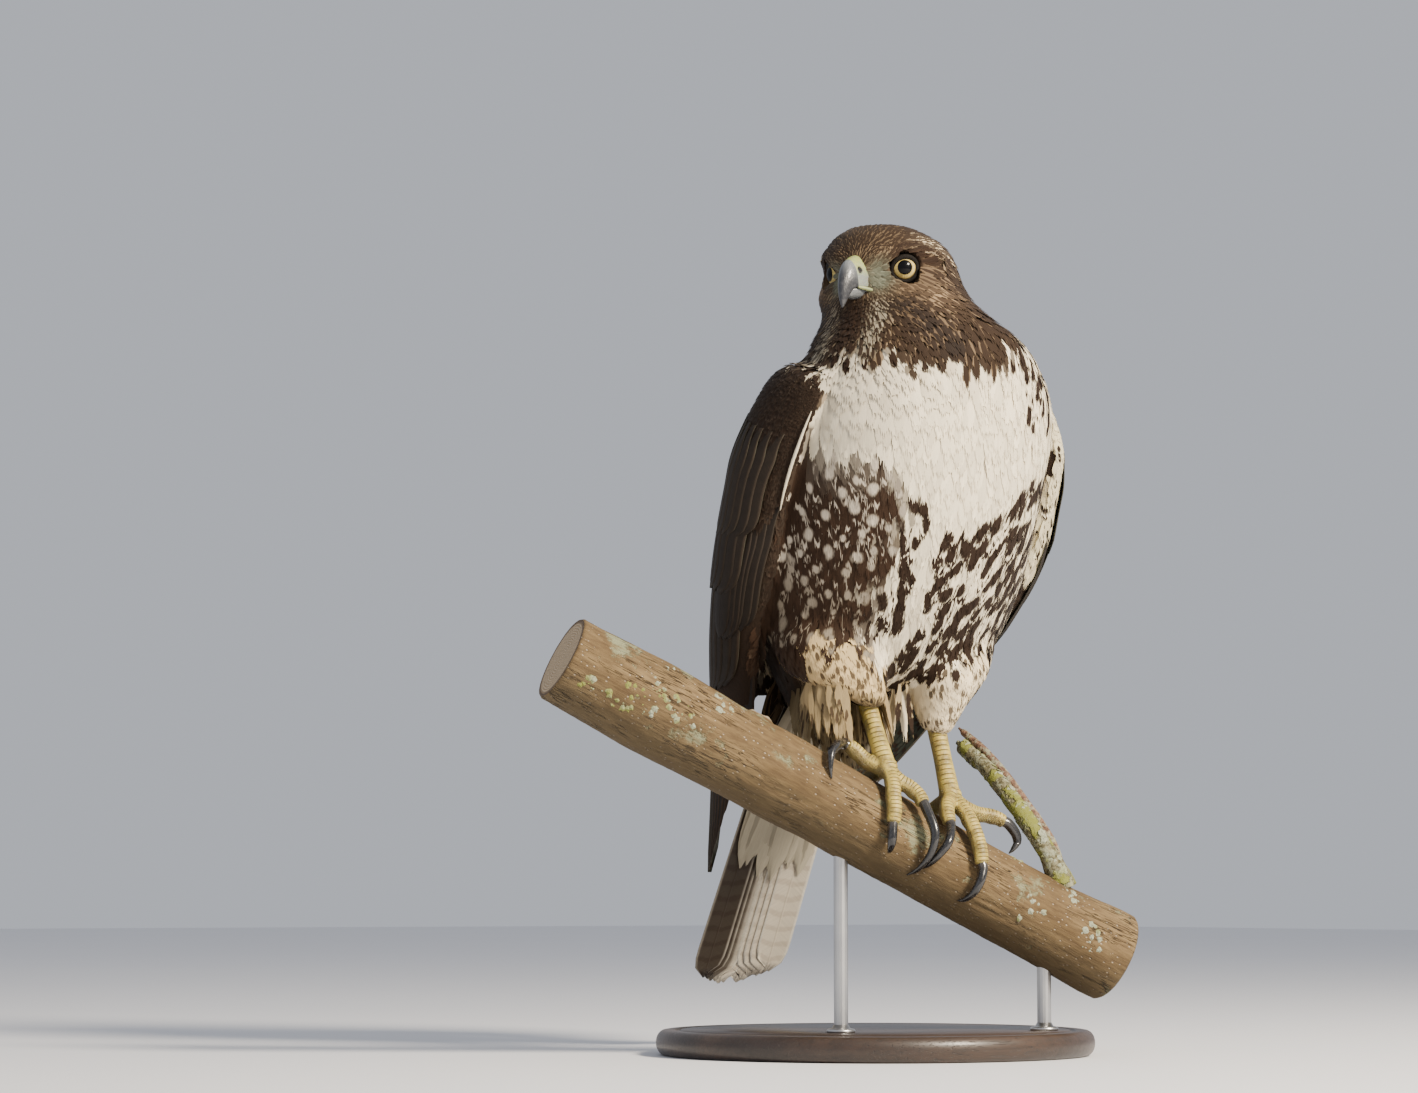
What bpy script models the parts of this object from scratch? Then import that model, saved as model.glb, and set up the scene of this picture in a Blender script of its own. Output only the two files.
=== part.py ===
"""A young red tailed hawk at life size, gripping a cut length of branch on a plain display stand.

The bird faces -Y, its right side is at -X and +Z is up. The origin is the centre of the stand's underside.
Shapes of the bird are written in millimetres from the grip, the point of the branch's axis under the feet.
"""
import math

import bmesh
import bpy
import numpy as np
from mathutils import Vector

MM = 0.001
GAP = 0.3 * MM  # clear space between neighbouring pieces
SHARP_ANGLE = math.radians(35.0)

# Stand
BASE_RADIUS = 140 * MM
BASE_THICKNESS = 16 * MM
BASE_EDGE = 3 * MM
ROD_RADIUS = 4.5 * MM
ROD_PLACES = (-0.050, 0.084)  # X of the two rods

# Perch
GRIP = Vector((0.0, -0.050, 0.128))
PERCH_RADIUS = 27.0 * MM
PERCH_YAW = math.radians(-12.0)
PERCH_PITCH = math.radians(27.0)
PERCH_START = -262 * MM
PERCH_END = 150 * MM

# Bird
HEAD_CENTRE = (-26.0, 0.0, 362.0)
HEAD_YAW = 62.0  # degrees towards the bird's right
HEAD_PITCH = 3.0
EYE_RADIUS = 10.0
EYE_PLACE = (8.8, 21.6, 5.2)  # forward, sideways and up from the head's centre
TAIL_LENGTH = 227.0
TAIL_FEATHERS = 12
SECTION_POINTS = 24

# Body sections: x, y, z of the centre, yaw and dip in degrees, half width, front, back, narrowing to the front
BODY_SECTIONS = {
    "tail root": (0, 116, 98, 0, 52, 27, 26, 16, 0.0),
    "vent": (2, 98, 122, 0, 46, 53, 50, 28, 0.0),
    "pelvis": (4, 72, 152, 0, 38, 84, 71, 44, 0.0),
    "belly": (3, 47, 188, 0, 33, 95, 79, 55, 0.0),
    "breast": (1.5, 12, 244, 0, 28, 91, 76, 60, 0.0),
    "shoulder": (2, -6, 286, 3, 19, 88, 64, 56, 0.0),
    "neck base": (-3, -12, 317, 15, 9, 72, 55, 53, 0.0),
    "neck": (-10, -6, 338, 42, 4, 54, 48, 55, 0.0),
    "throat": (-19, 0, 353, 60, 2, 46, 38, 61, 0.05),
    "cheek": (-25, 0, 364, 62, 0, 42, 35, 63, 0.14),
    "brow": (-26, 0, 376, 62, 0, 39, 33, 61, 0.14),
    "crown": (-26, 0, 387, 62, 0, 33, 27, 51, 0.1),
    "crown top": (-26, 0, 394, 62, 0, 20, 17, 32, 0.0),
}
NECK_FROM = 6.0
NECK_TO = 7.3

# Folded wing: front edge, widest line and back edge, from the wrist to the tip, on the bird's right side
WING_FRONT = ((-84, -34, 297), (-94, -19, 257), (-97, -2, 222), (-96, 14, 180), (-90, 42, 136), (-80, 68, 90),
              (-64, 118, 40), (-46, 182, -12))
WING_WIDE = ((-94, 8, 311), (-107, 34, 268), (-109, 50, 226), (-108, 66, 184), (-100, 86, 142), (-86, 110, 96),
             (-67, 144, 46), (-45, 187, -13))
WING_BACK = ((-46, 36, 312), (-24, 66, 282), (-15, 92, 238), (-13, 111, 192), (-14, 126, 150), (-20, 140, 104),
             (-32, 166, 52), (-37, 190, -8))
WING_THICKNESS = (18.0, 24.0, 22.0, 17.0, 12.0, 8.0, 4.5, 3.0)
WING_SPLIT = 5.0
LEFT_TIP_SHIFT = 24.0  # the left tip lies nearer the tail's middle
LEFT_WING_OUT = 9.0
LEFT_WING_TUCK = 20.0  # below its middle the left wing lies further back
LEFT_WRIST_IN = 19.0  # the left wrist is drawn in under the neck's feathers

COLLECTIONS = {}


def start():
    """Clears the scene's objects and makes one collection for the hawk and one for its cutters."""
    for old in list(bpy.data.objects):
        bpy.data.objects.remove(old)
    for key, title in (("parts", "red_tailed_hawk"), ("cutters", "cutters")):
        COLLECTIONS[key] = bpy.data.collections.new(title)
        bpy.context.scene.collection.children.link(COLLECTIONS[key])


def material(name, colour, roughness, metallic=0.0):
    """A Principled material with one colour, made once for each name."""
    found = bpy.data.materials.get(name)
    if found:
        return found
    made = bpy.data.materials.new(name)
    made.use_nodes = True
    shader = made.node_tree.nodes["Principled BSDF"]
    shader.inputs["Base Color"].default_value = (*colour, 1.0)
    shader.inputs["Roughness"].default_value = roughness
    shader.inputs["Metallic"].default_value = metallic
    return made


PLUMAGE_DARK = ("plumage_dark", (0.075, 0.048, 0.032), 0.75)
PLUMAGE_PALE = ("plumage_pale", (0.72, 0.66, 0.56), 0.8)
TAIL_VANES = ("tail_vanes", (0.42, 0.35, 0.26), 0.7)
LEG_SCALES = ("leg_scales", (0.62, 0.50, 0.16), 0.5)
CLAW_HORN = ("claw_horn", (0.02, 0.019, 0.022), 0.25)
BILL_HORN = ("bill_horn", (0.06, 0.065, 0.075), 0.3)
CERE_SKIN = ("cere_skin", (0.45, 0.48, 0.22), 0.5)
EYE_CLEAR = ("eye_clear", (0.62, 0.55, 0.27), 0.08)
BARK = ("bark", (0.30, 0.20, 0.12), 0.9)
TWIG_BARK = ("twig_bark", (0.20, 0.17, 0.10), 0.9)
STAND_WOOD = ("stand_wood", (0.035, 0.028, 0.024), 0.45)
STAND_STEEL = ("stand_steel", (0.55, 0.55, 0.56), 0.3, 1.0)


def add_mesh(name, vertices, faces, finish, group="parts"):
    """An object from points and faces, with outward faces, shaded smooth except along sharp edges."""
    mesh = bpy.data.meshes.new(name)
    mesh.from_pydata([tuple(v) for v in vertices], [], faces)
    shape = bmesh.new()
    shape.from_mesh(mesh)
    bmesh.ops.remove_doubles(shape, verts=shape.verts, dist=0.01 * MM)
    bmesh.ops.recalc_face_normals(shape, faces=shape.faces)
    shape.to_mesh(mesh)
    shape.free()
    mesh.materials.append(material(*finish))
    mesh.shade_smooth()
    mesh.set_sharp_from_angle(angle=SHARP_ANGLE)
    made = bpy.data.objects.new(name, mesh)
    COLLECTIONS[group].objects.link(made)
    if group == "cutters":
        made.hide_render = True
        made.display_type = "WIRE"
    return made


def from_grip(points):
    """Millimetres from the grip to metres in the model's frame."""
    return np.asarray(points, float) * MM + np.array(GRIP)


def smooth(rows, at):
    """Values between a table's rows, on cubic curves that pass through every row (Catmull-Rom)."""
    rows = np.asarray(rows, float)
    ends = np.vstack((2 * rows[:1] - rows[1:2], rows, 2 * rows[-1:] - rows[-2:-1]))
    at = np.clip(np.atleast_1d(np.asarray(at, float)), 0, len(rows) - 1)
    low = np.minimum(at.astype(int), len(rows) - 2)
    f = (at - low)[:, None]
    a, b, c, d = ends[low], ends[low + 1], ends[low + 2], ends[low + 3]
    return 0.5 * (2 * b + (c - a) * f + (2 * a - 5 * b + 4 * c - d) * f**2 + (3 * b - a - 3 * c + d) * f**3)


def loft(name, rings, finish, group="parts"):
    """A closed solid through a stack of closed rings, each with the same number of points, with flat ends."""
    rings = np.asarray(rings)
    count, around = rings.shape[:2]
    faces = []
    for i in range(count - 1):
        for j in range(around):
            k = (j + 1) % around
            faces.append((i * around + j, i * around + k, (i + 1) * around + k, (i + 1) * around + j))
    faces.append(tuple(range(around)))
    faces.append(tuple(reversed(range((count - 1) * around, count * around))))
    return add_mesh(name, rings.reshape(-1, 3), faces, finish, group)


def slab(name, outer, inner, finish, group="parts"):
    """A closed solid between two grids of the same size that are stitched round their borders."""
    rows, columns = outer.shape[:2]
    points = np.concatenate((outer.reshape(-1, 3), inner.reshape(-1, 3)))
    under = rows * columns
    faces = []
    for i in range(rows - 1):
        for j in range(columns - 1):
            corner = i * columns + j
            quad = (corner, corner + 1, corner + columns + 1, corner + columns)
            faces.append(quad)
            faces.append(tuple(reversed([q + under for q in quad])))
    rim = list(range(columns))
    rim += [i * columns + columns - 1 for i in range(1, rows)]
    rim += [(rows - 1) * columns + j for j in range(columns - 2, -1, -1)]
    rim += [i * columns for i in range(rows - 2, 0, -1)]
    for a, b in zip(rim, rim[1:] + rim[:1]):
        faces.append((b, a, a + under, b + under))
    return add_mesh(name, points, faces, finish, group)


def tube(name, points, radii, finish, sides=2, group="parts"):
    """A round bar along points in metres, with a radius at each, made as a bevelled curve and then a mesh."""
    curve = bpy.data.curves.new(name, "CURVE")
    curve.dimensions = "3D"
    curve.bevel_depth = 1.0
    curve.bevel_resolution = sides
    curve.use_fill_caps = True
    line = curve.splines.new("POLY")
    line.points.add(len(points) - 1)
    for point, place, radius in zip(line.points, points, radii):
        point.co = (*place, 1.0)
        point.radius = float(radius)
    guide = bpy.data.objects.new(name + "_line", curve)
    COLLECTIONS["cutters"].objects.link(guide)
    bpy.context.view_layer.update()
    mesh = bpy.data.meshes.new_from_object(guide.evaluated_get(bpy.context.evaluated_depsgraph_get()))
    vertices = [guide.matrix_world @ v.co for v in mesh.vertices]
    faces = [tuple(p.vertices) for p in mesh.polygons]
    bpy.data.objects.remove(guide)
    bpy.data.meshes.remove(mesh)
    return add_mesh(name, vertices, faces, finish, group)


def ball(name, centre, radius, finish, group="parts", columns=12, rows=8):
    """A sphere from a primitive, with its place in its mesh."""
    mesh = bpy.data.meshes.new(name)
    shape = bmesh.new()
    bmesh.ops.create_uvsphere(shape, u_segments=columns, v_segments=rows, radius=radius)
    bmesh.ops.translate(shape, verts=shape.verts, vec=centre)
    shape.to_mesh(mesh)
    shape.free()
    mesh.materials.append(material(*finish))
    mesh.shade_smooth()
    made = bpy.data.objects.new(name, mesh)
    COLLECTIONS[group].objects.link(made)
    if group == "cutters":
        made.hide_render = True
        made.display_type = "WIRE"
    return made


def cut(piece, *cutters):
    """Takes the cutters' volumes out of a piece."""
    for cutter in cutters:
        taken = piece.modifiers.new("cut_" + cutter.name, "BOOLEAN")
        taken.operation = "DIFFERENCE"
        taken.solver = "EXACT"
        taken.object = cutter


def body_rings(places, grow=0.0):
    """Cross-sections of head, neck and trunk: eggs that turn, dip and narrow as the table says."""
    rows = smooth(list(BODY_SECTIONS.values()), places)
    angle = np.linspace(0, 2 * math.pi, SECTION_POINTS, endpoint=False)
    fullness = 0.93
    side = np.sign(np.sin(angle)) * np.abs(np.sin(angle)) ** fullness
    along = np.sign(np.cos(angle)) * np.abs(np.cos(angle)) ** fullness
    rings = []
    for x, y, z, yaw, dip, half, front, back, narrow in rows:
        yaw, dip = math.radians(yaw), math.radians(dip)
        forward = np.array((-math.sin(yaw) * math.cos(dip), -math.cos(yaw) * math.cos(dip), -math.sin(dip)))
        left = np.array((math.cos(yaw), -math.sin(yaw), 0.0))
        out = (half + grow) * side * (1 - narrow * np.cos(angle))
        ahead = np.where(along > 0, front + grow, back + grow) * along
        rings.append(np.array((x, y, z)) + out[:, None] * left + ahead[:, None] * forward)
    return from_grip(rings)


def head_point(forward, sideways, up):
    """A place measured from the head's centre, turned and dipped with the head, in millimetres from the grip."""
    yaw, pitch = math.radians(HEAD_YAW), math.radians(HEAD_PITCH)
    ahead = forward * math.cos(pitch) + up * math.sin(pitch)
    rise = up * math.cos(pitch) - forward * math.sin(pitch)
    x = HEAD_CENTRE[0] - ahead * math.sin(yaw) + sideways * math.cos(yaw)
    y = HEAD_CENTRE[1] - ahead * math.cos(yaw) - sideways * math.sin(yaw)
    return np.array((x, y, HEAD_CENTRE[2] + rise))


def bill_loft(name, top, bottom, widths, finish, flat_low=True, group="parts", grow=0.0):
    """A horn piece between its upper and lower profile: each section is an arch on a flat chord."""
    arch = np.linspace(0, math.pi, 9)
    rings = []
    for i, (high, low, half) in enumerate(zip(top, bottom, widths)):
        high, low = np.array(high, float), np.array(low, float)
        lift = (high - low) / np.linalg.norm(high - low)
        high, low = high + grow * lift, low - grow * lift
        start, end = (low, high) if flat_low else (high, low)
        ring = []
        for angle in arch:
            spot = start + (end - start) * math.sin(angle) ** 0.9
            ring.append(head_point(spot[0], (half + grow) * math.cos(angle), spot[1]))
        rings.append(ring)
    return loft(name, from_grip(rings), finish, group)


def perch_axes():
    """The branch's direction, its upward normal and its normal to the bird's front."""
    along = Vector((
        math.cos(PERCH_YAW) * math.cos(PERCH_PITCH),
        math.sin(PERCH_YAW) * math.cos(PERCH_PITCH),
        -math.sin(PERCH_PITCH),
    ))
    front = Vector((math.sin(PERCH_YAW), -math.cos(PERCH_YAW), 0.0))
    return along, front.cross(along).normalized(), front


def on_perch(along_mm, degrees, radius_mm):
    """A point beside the branch: distance along it, angle from its top towards the bird's front, and radius."""
    along, up, front = perch_axes()
    turn = math.radians(degrees)
    return GRIP + MM * (along_mm * along + radius_mm * (math.cos(turn) * up + math.sin(turn) * front))


def make_perch():
    """The cut branch: one slightly bent, slightly uneven bar, with the stub of a lost twig and a forked twig."""
    along, up, front = perch_axes()
    places = np.linspace(PERCH_START, PERCH_END, 16)
    bend = 5.0 * MM * ((places - 0.03) / 0.2) ** 2
    points = [GRIP + along * s + up * b * (s > 0.03) for s, b in zip(places, bend)]
    grip_room = np.clip((np.abs(places + 0.01) - 0.07) / 0.08, 0, 1)
    radii = PERCH_RADIUS + grip_room * (1.6 * MM + 0.8 * MM * np.sin(places * 55))
    perch = tube("perch", points, radii, BARK, sides=6)
    cutter = tube("perch_room", points, radii + GAP, BARK, sides=6, group="cutters")
    twig = [on_perch(97, 8, 25), on_perch(81, 6, 38), on_perch(58, -7, 55), on_perch(34, -24, 82)]
    twig += [on_perch(15, -36, 110)]
    thick = tube("perch_twig", twig, np.array((9.5, 6.6, 6.0, 5.4, 4.8)) * MM, TWIG_BARK)
    cut(thick, cutter)
    side = Vector((3.5, 4.0, 9.5)) * MM
    fork = [p + side for p in twig[1:]]
    fork = [on_perch(94, 0, 36)] + fork
    thin = tube("perch_twig_fork", fork, np.array((3.6, 3.4, 3.0, 2.8, 2.4)) * MM, TWIG_BARK)
    room = tube("twig_room", twig, np.array((9.5, 6.6, 6.0, 5.4, 4.8)) * MM + GAP, TWIG_BARK, group="cutters")
    cut(thin, cutter, room)
    return cutter


def make_stand(perch_room):
    """A round wooden base and two steel rods that end under the branch."""
    mesh = bpy.data.meshes.new("stand_base")
    shape = bmesh.new()
    bmesh.ops.create_cone(
        shape, cap_ends=True, segments=48, radius1=BASE_RADIUS, radius2=BASE_RADIUS, depth=BASE_THICKNESS
    )
    bmesh.ops.translate(shape, verts=shape.verts, vec=(0, 0, BASE_THICKNESS / 2))
    shape.to_mesh(mesh)
    shape.free()
    mesh.materials.append(material(*STAND_WOOD))
    mesh.shade_smooth()
    mesh.set_sharp_from_angle(angle=SHARP_ANGLE)
    base = bpy.data.objects.new("stand_base", mesh)
    COLLECTIONS["parts"].objects.link(base)
    edge = base.modifiers.new("rounded_edge", "BEVEL")
    edge.width = BASE_EDGE
    edge.segments = 1
    edge.limit_method = "ANGLE"
    along, up, front = perch_axes()
    for number, x in enumerate(ROD_PLACES, 1):
        spot = GRIP + along * (x / along.x)
        top = spot.z
        bottom = BASE_THICKNESS + GAP
        mesh = bpy.data.meshes.new(f"stand_rod_{number}")
        shape = bmesh.new()
        bmesh.ops.create_cone(
            shape, cap_ends=True, segments=16, radius1=ROD_RADIUS, radius2=ROD_RADIUS, depth=top - bottom
        )
        bmesh.ops.translate(shape, verts=shape.verts, vec=(spot.x, spot.y, (top + bottom) / 2))
        shape.to_mesh(mesh)
        shape.free()
        mesh.materials.append(material(*STAND_STEEL))
        mesh.shade_smooth()
        mesh.set_sharp_from_angle(angle=SHARP_ANGLE)
        rod = bpy.data.objects.new(f"stand_rod_{number}", mesh)
        COLLECTIONS["parts"].objects.link(rod)
        cut(rod, perch_room)


def make_body():
    """Trunk, neck and head as lengths of one loft, with the head hollowed for the bill and the eyes."""
    thin_cut = 0.03
    last = len(BODY_SECTIONS) - 1
    trunk_places = np.linspace(0, NECK_FROM - thin_cut, 15)
    trunk = loft("trunk", body_rings(trunk_places), PLUMAGE_PALE)
    loft("neck", body_rings(np.linspace(NECK_FROM, NECK_TO - thin_cut, 6)), PLUMAGE_DARK)
    head = loft("head", body_rings(np.linspace(NECK_TO, last, 11)), PLUMAGE_DARK)
    trunk_room = loft("trunk_room", body_rings(trunk_places, grow=0.7), PLUMAGE_PALE, "cutters")
    return trunk, head, trunk_room


def make_eyes_and_bill(head):
    """Two eyeballs, the cere, and the two halves of the bill, each set into the head."""
    for side, way in (("left", 1), ("right", -1)):
        centre = from_grip(head_point(EYE_PLACE[0], way * EYE_PLACE[1], EYE_PLACE[2]))
        ball(f"eye_{side}", centre, EYE_RADIUS * MM, EYE_CLEAR)
        cut(head, ball(f"socket_{side}", centre, EYE_RADIUS * MM + GAP, EYE_CLEAR, "cutters"))
        axis = head_point(16.0, way * 28.0, 5.4) - head_point(8.5, way * 22.0, 5.2)
        axis = axis / np.linalg.norm(axis)
        far = centre + axis * 30 * MM
        mouth = tube(f"socket_mouth_{side}", [centre, far], (8.2 * MM, 17 * MM), EYE_CLEAR, 4, "cutters")
        cut(head, mouth)
    cere_top = ((22.0, 15.0), (31.0, 13.6), (36.0, 12.2), (39.4, 10.6))
    cere_low = ((22.0, -6.0), (31.0, -6.6), (36.0, -6.9), (38.4, -7.1))
    cere_half = (9.4, 8.8, 7.8, 6.9)
    bill_loft("cere", cere_top, cere_low, cere_half, CERE_SKIN)
    cut(head, bill_loft("cere_room", cere_top, cere_low, cere_half, CERE_SKIN, group="cutters", grow=0.35))
    horn_top = ((39.8, 10.4), (43.2, 8.2), (46.8, 2.4), (49.2, -4.0), (50.2, -10.6), (50, -16.2), (49, -20.8))
    horn_low = ((38.8, -7.1), (41, -7.4), (43, -8.8), (44.8, -11.4), (46.2, -14.4), (47.4, -17.8), (48.4, -20.6))
    horn_half = (6.8, 6.2, 5.2, 4.1, 3.0, 1.8, 0.5)
    bill_loft("upper_bill", horn_top, horn_low, horn_half, BILL_HORN)
    jaw_top = ((18.0, -7.7), (31.0, -8.1), (38.0, -8.5), (41.4, -9.3), (43.0, -10.8))
    jaw_low = ((18.0, -14.6), (31.0, -14.6), (38.0, -14.4), (41.4, -14.0), (42.8, -13.2))
    jaw_half = (9.4, 7.8, 5.4, 3.6, 2.0)
    bill_loft("lower_bill", jaw_top, jaw_low, jaw_half, BILL_HORN, flat_low=False)
    room = bill_loft("jaw_room", jaw_top, jaw_low, jaw_half, BILL_HORN, False, "cutters", grow=0.35)
    cut(head, room)


def wing_sheet(u, v):
    """Points of a folded wing's outer face: u runs from wrist to tip, v from the front edge round to the back."""
    front, wide, back = (smooth(rows, u)[:, None, :] for rows in (WING_FRONT, WING_WIDE, WING_BACK))
    v = np.asarray(v)[None, :, None]
    middle = 0.46
    at_front = (v - middle) * (v - 1) / middle
    at_wide = v * (1 - v) / (middle * (1 - middle))
    at_back = v * (v - middle) / (1 - middle)
    return front * at_front + wide * at_wide + back * at_back


def wing_grids(u_from, u_to, rows, columns, filled=0.0):
    """Outer and inner faces of a length of the wing, thin along its edges, with a given depth more at the wrist."""
    u = np.linspace(u_from, u_to, rows)
    v = np.linspace(0, 1, columns)
    outer = wing_sheet(u, v)
    step = 0.02
    top = len(WING_FRONT) - 1
    down = wing_sheet(np.minimum(u + step, top), v) - wing_sheet(np.minimum(u + step, top) - 2 * step, v)
    across = wing_sheet(u, v + step) - wing_sheet(u, v - step)
    normal = np.cross(across, down)
    normal /= np.linalg.norm(normal, axis=2)[:, :, None]
    deep = smooth(np.array(WING_THICKNESS)[:, None], u) + filled * np.clip(1 - u[:, None] / 4, 0, 1)
    round_front = np.clip(v / 0.12, 0, 1) ** 0.5
    round_back = np.clip((1 - v) / 0.45, 0, 1) ** 0.7
    thickness = deep * (0.6 + 0.4 * round_front) * (0.22 + 0.78 * round_back)
    thickness = np.maximum(thickness, 1.6)
    return outer, outer - normal * thickness[:, :, None]


def to_left(points):
    """The right wing's points carried to the left side, with the tip drawn in over the tail."""
    mirrored = points * np.array((-1.0, 1.0, 1.0))
    lower = np.clip((150 - mirrored[..., 2]) / 160, 0, 1)
    tuck = np.clip((205 - mirrored[..., 2]) / 70, 0, 1) * np.clip((mirrored[..., 2] - 10) / 80, 0, 1)
    wrist = np.clip((mirrored[..., 2] - 255) / 50, 0, 1.2)
    mirrored[..., 0] += LEFT_WING_OUT * (1 - lower) - LEFT_TIP_SHIFT * lower**1.5 - LEFT_WRIST_IN * wrist**1.3
    mirrored[..., 1] += LEFT_WING_TUCK * tuck
    mirrored[..., 2] += 8.0 * lower
    return mirrored


def make_wings(trunk_room):
    """Each folded wing in two lengths: arm with coverts and secondaries, then the primaries' tips."""
    top = len(WING_FRONT) - 1
    for side in ("right", "left"):
        for part, low, high, rows in (("wing", 0, WING_SPLIT, 12), ("primaries", WING_SPLIT + 0.03, top, 6)):
            filled = 1.6 * LEFT_WING_OUT if side == "left" else 0.4 * LEFT_WING_OUT
            outer, inner = wing_grids(low, high, rows, 11 if part == "wing" else 8, filled)
            if side == "left":
                outer, inner = to_left(outer), to_left(inner)
            piece = slab(f"{part}_{side}", from_grip(outer), from_grip(inner), PLUMAGE_DARK)
            if part == "wing":
                cut(piece, trunk_room)


def tail_grids():
    """Upper and lower faces of the closed tail, a shallow arch with scalloped feather tips."""
    root, tip = np.array((-3.0, 108.0, 112.0)), np.array((-9.0, 206.0, -68.0))
    down = (tip - root) / np.linalg.norm(tip - root)
    across = np.array((1.0, 0.0, 0.0)) - down[0] * down
    across /= np.linalg.norm(across)
    upper = np.cross(down, across)
    if upper[1] < 0:
        upper = -upper
    columns, rows = 2 * TAIL_FEATHERS + 1, 7
    w = np.linspace(-1, 1, columns)
    t = np.linspace(0, 1, rows)[:, None]
    scallop = np.abs(np.sin(np.pi * TAIL_FEATHERS * (w + 1) / 2)) ** 0.6
    end = TAIL_LENGTH - 5.0 * w**2 - 4.0 * (1 - scallop)
    reach = t * end
    half = 30 + 8 * t**0.6
    arch = (4.5 - 3.0 * t) * (1 - w**2)
    thick = 4.0 + 15.0 * (1 - t) ** 2.2 * (1 - 0.6 * w**2)
    middle = root + reach[..., None] * down + (half * w)[..., None] * across
    face = middle + (arch + thick * 0.4)[..., None] * upper
    under = middle + (arch - thick * 0.6)[..., None] * upper
    return from_grip(face), from_grip(under)


def make_tail(trunk_room):
    """The closed tail of twelve feathers with its coverts, as one solid beyond the trunk."""
    tail = slab("tail", *tail_grids(), TAIL_VANES)
    cut(tail, trunk_room)


THIGHS = {
    # x, y, z of the centre, half width, half depth
    "right": ((-41, 42, 150, 41, 44), (-43, 34, 130, 38, 40), (-42, 28, 111, 32, 34), (-32, 18, 98, 17, 20),
              (-28, 14, 92.5, 8.5, 9.5)),
    "left": ((40, 42, 140, 40, 44), (37, 28, 118, 36, 40), (30, 19, 97, 25, 28), (24, 13, 82, 14, 17),
             (22.5, 11, 77, 8.5, 9.5)),
}


def make_thighs(trunk_room):
    """The feathered thighs, which leave the belly and end in a cuff round each leg."""
    angle = np.linspace(0, 2 * math.pi, 20, endpoint=False)
    rooms = {}
    for side, rows in THIGHS.items():
        stack = smooth(rows, np.linspace(0, len(rows) - 1, 10))
        for grow, group in ((0.0, "parts"), (0.4, "cutters")):
            x, y, z, wide, deep = stack.T[:, :, None]
            ahead = (deep + grow) * np.cos(angle)
            rings = np.stack((x + (wide + grow) * np.sin(angle), y - ahead, z - 0.2 * ahead), axis=2)
            if grow:
                rooms[side] = loft(f"thigh_room_{side}", from_grip(rings), PLUMAGE_PALE, group)
            else:
                cut(loft(f"thigh_{side}", from_grip(rings), PLUMAGE_PALE, group), trunk_room)
    return rooms


# Feet: distance along the branch, angle round it and radius in millimetres, for each joint of a toe and its claw
FEET = {
    "right": {
        "ankle": (-28.0, -8.0, 53.0),
        "leg_top": (-28.4, 15.0, 97.0),
        "front_inner": ((-37, 30, 36), (-29, 32, 36), (-22.5, 39, 36), (-18.5, 48, 36)),
        "front_inner_claw": ((-15, 58, 37), (-7.5, 74, 37.4), (-3.5, 94, 35), (-4, 116, 31), (-6.5, 134, 27.7)),
        "front_middle": ((-42, 38, 35.6), (-39, 55, 33.4), (-35.5, 71, 32.8), (-33, 86, 32.6)),
        "front_middle_claw": ((-32, 92, 33.6), (-30, 100, 34.6), (-28, 107, 33.6), (-26.5, 113, 31),
                              (-25.5, 119, 27.7)),
        "front_outer": ((-51, 20, 36), (-60, 12, 35.2), (-69, 9, 37.6), (-75, 10, 37.8)),
        "front_outer_claw": ((-78, 14, 37.4), (-83.5, 28, 36.4), (-86, 44, 33.6), (-83.5, 58, 30.4),
                             (-79.5, 68, 27.8)),
        "rear": ((-43, -4, 37), (-44, -22, 34.6), (-44, -42, 33), (-43, -58, 32.6)),
        "rear_claw": ((-43, -66, 33.2), (-42, -84, 34.4), (-42, -102, 33.2), (-42, -116, 30.4),
                      (-42, -126, 27.8)),
    },
    "left": {
        "ankle": (20.0, -8.0, 36.0),
        "leg_top": (23.0, 12.5, 81.0),
        "front_inner": ((0.5, 18, 38), (-1, 30, 36), (0, 42, 34.6), (2.4, 52, 34.2)),
        "front_inner_claw": ((3.6, 60, 35.6), (3.6, 76, 36.4), (2, 92, 34), (0.5, 105, 30.8), (-0.8, 115, 27.7)),
        "front_middle": ((11, 22, 38), (18, 39, 35.6), (26, 59, 33.2), (32, 79, 32.6)),
        "front_middle_claw": ((33.2, 86, 33.2), (34, 97, 34.6), (34, 110, 33.4), (32.5, 122, 30.8),
                              (30.5, 131, 27.7)),
        "front_outer": ((14, 4, 39.6), (25, 0, 40.4), (36, -1, 44), (45, 0, 44.4)),
        "front_outer_claw": ((49, 0, 43.6), (54, 1, 41), (57, 2, 36.6), (56.6, 3, 32), (55.2, 3, 27.8)),
        "rear": ((4, -10, 39), (3, -28, 35.6), (2, -46, 33.4), (3, -61, 32.6)),
        "rear_claw": ((3, -69, 33.2), (4, -87, 34.4), (4, -105, 33.2), (4, -119, 30.4), (4, -129, 27.8)),
    },
}
TOE_RADII = (4.9, 4.9, 4.7, 4.2)
CLAW_RADII = (3.8, 3.5, 2.8, 1.8, 0.4)
ANKLE_RADIUS = 7.6
CLAW_ROOT = 2.0 * MM  # the straight start of a claw


def curve_points(rows, count):
    """Points along a smooth line through rows of perch places, in metres."""
    return [on_perch(*row) for row in smooth(rows, np.linspace(0, len(rows) - 1, count)).tolist()]


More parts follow.
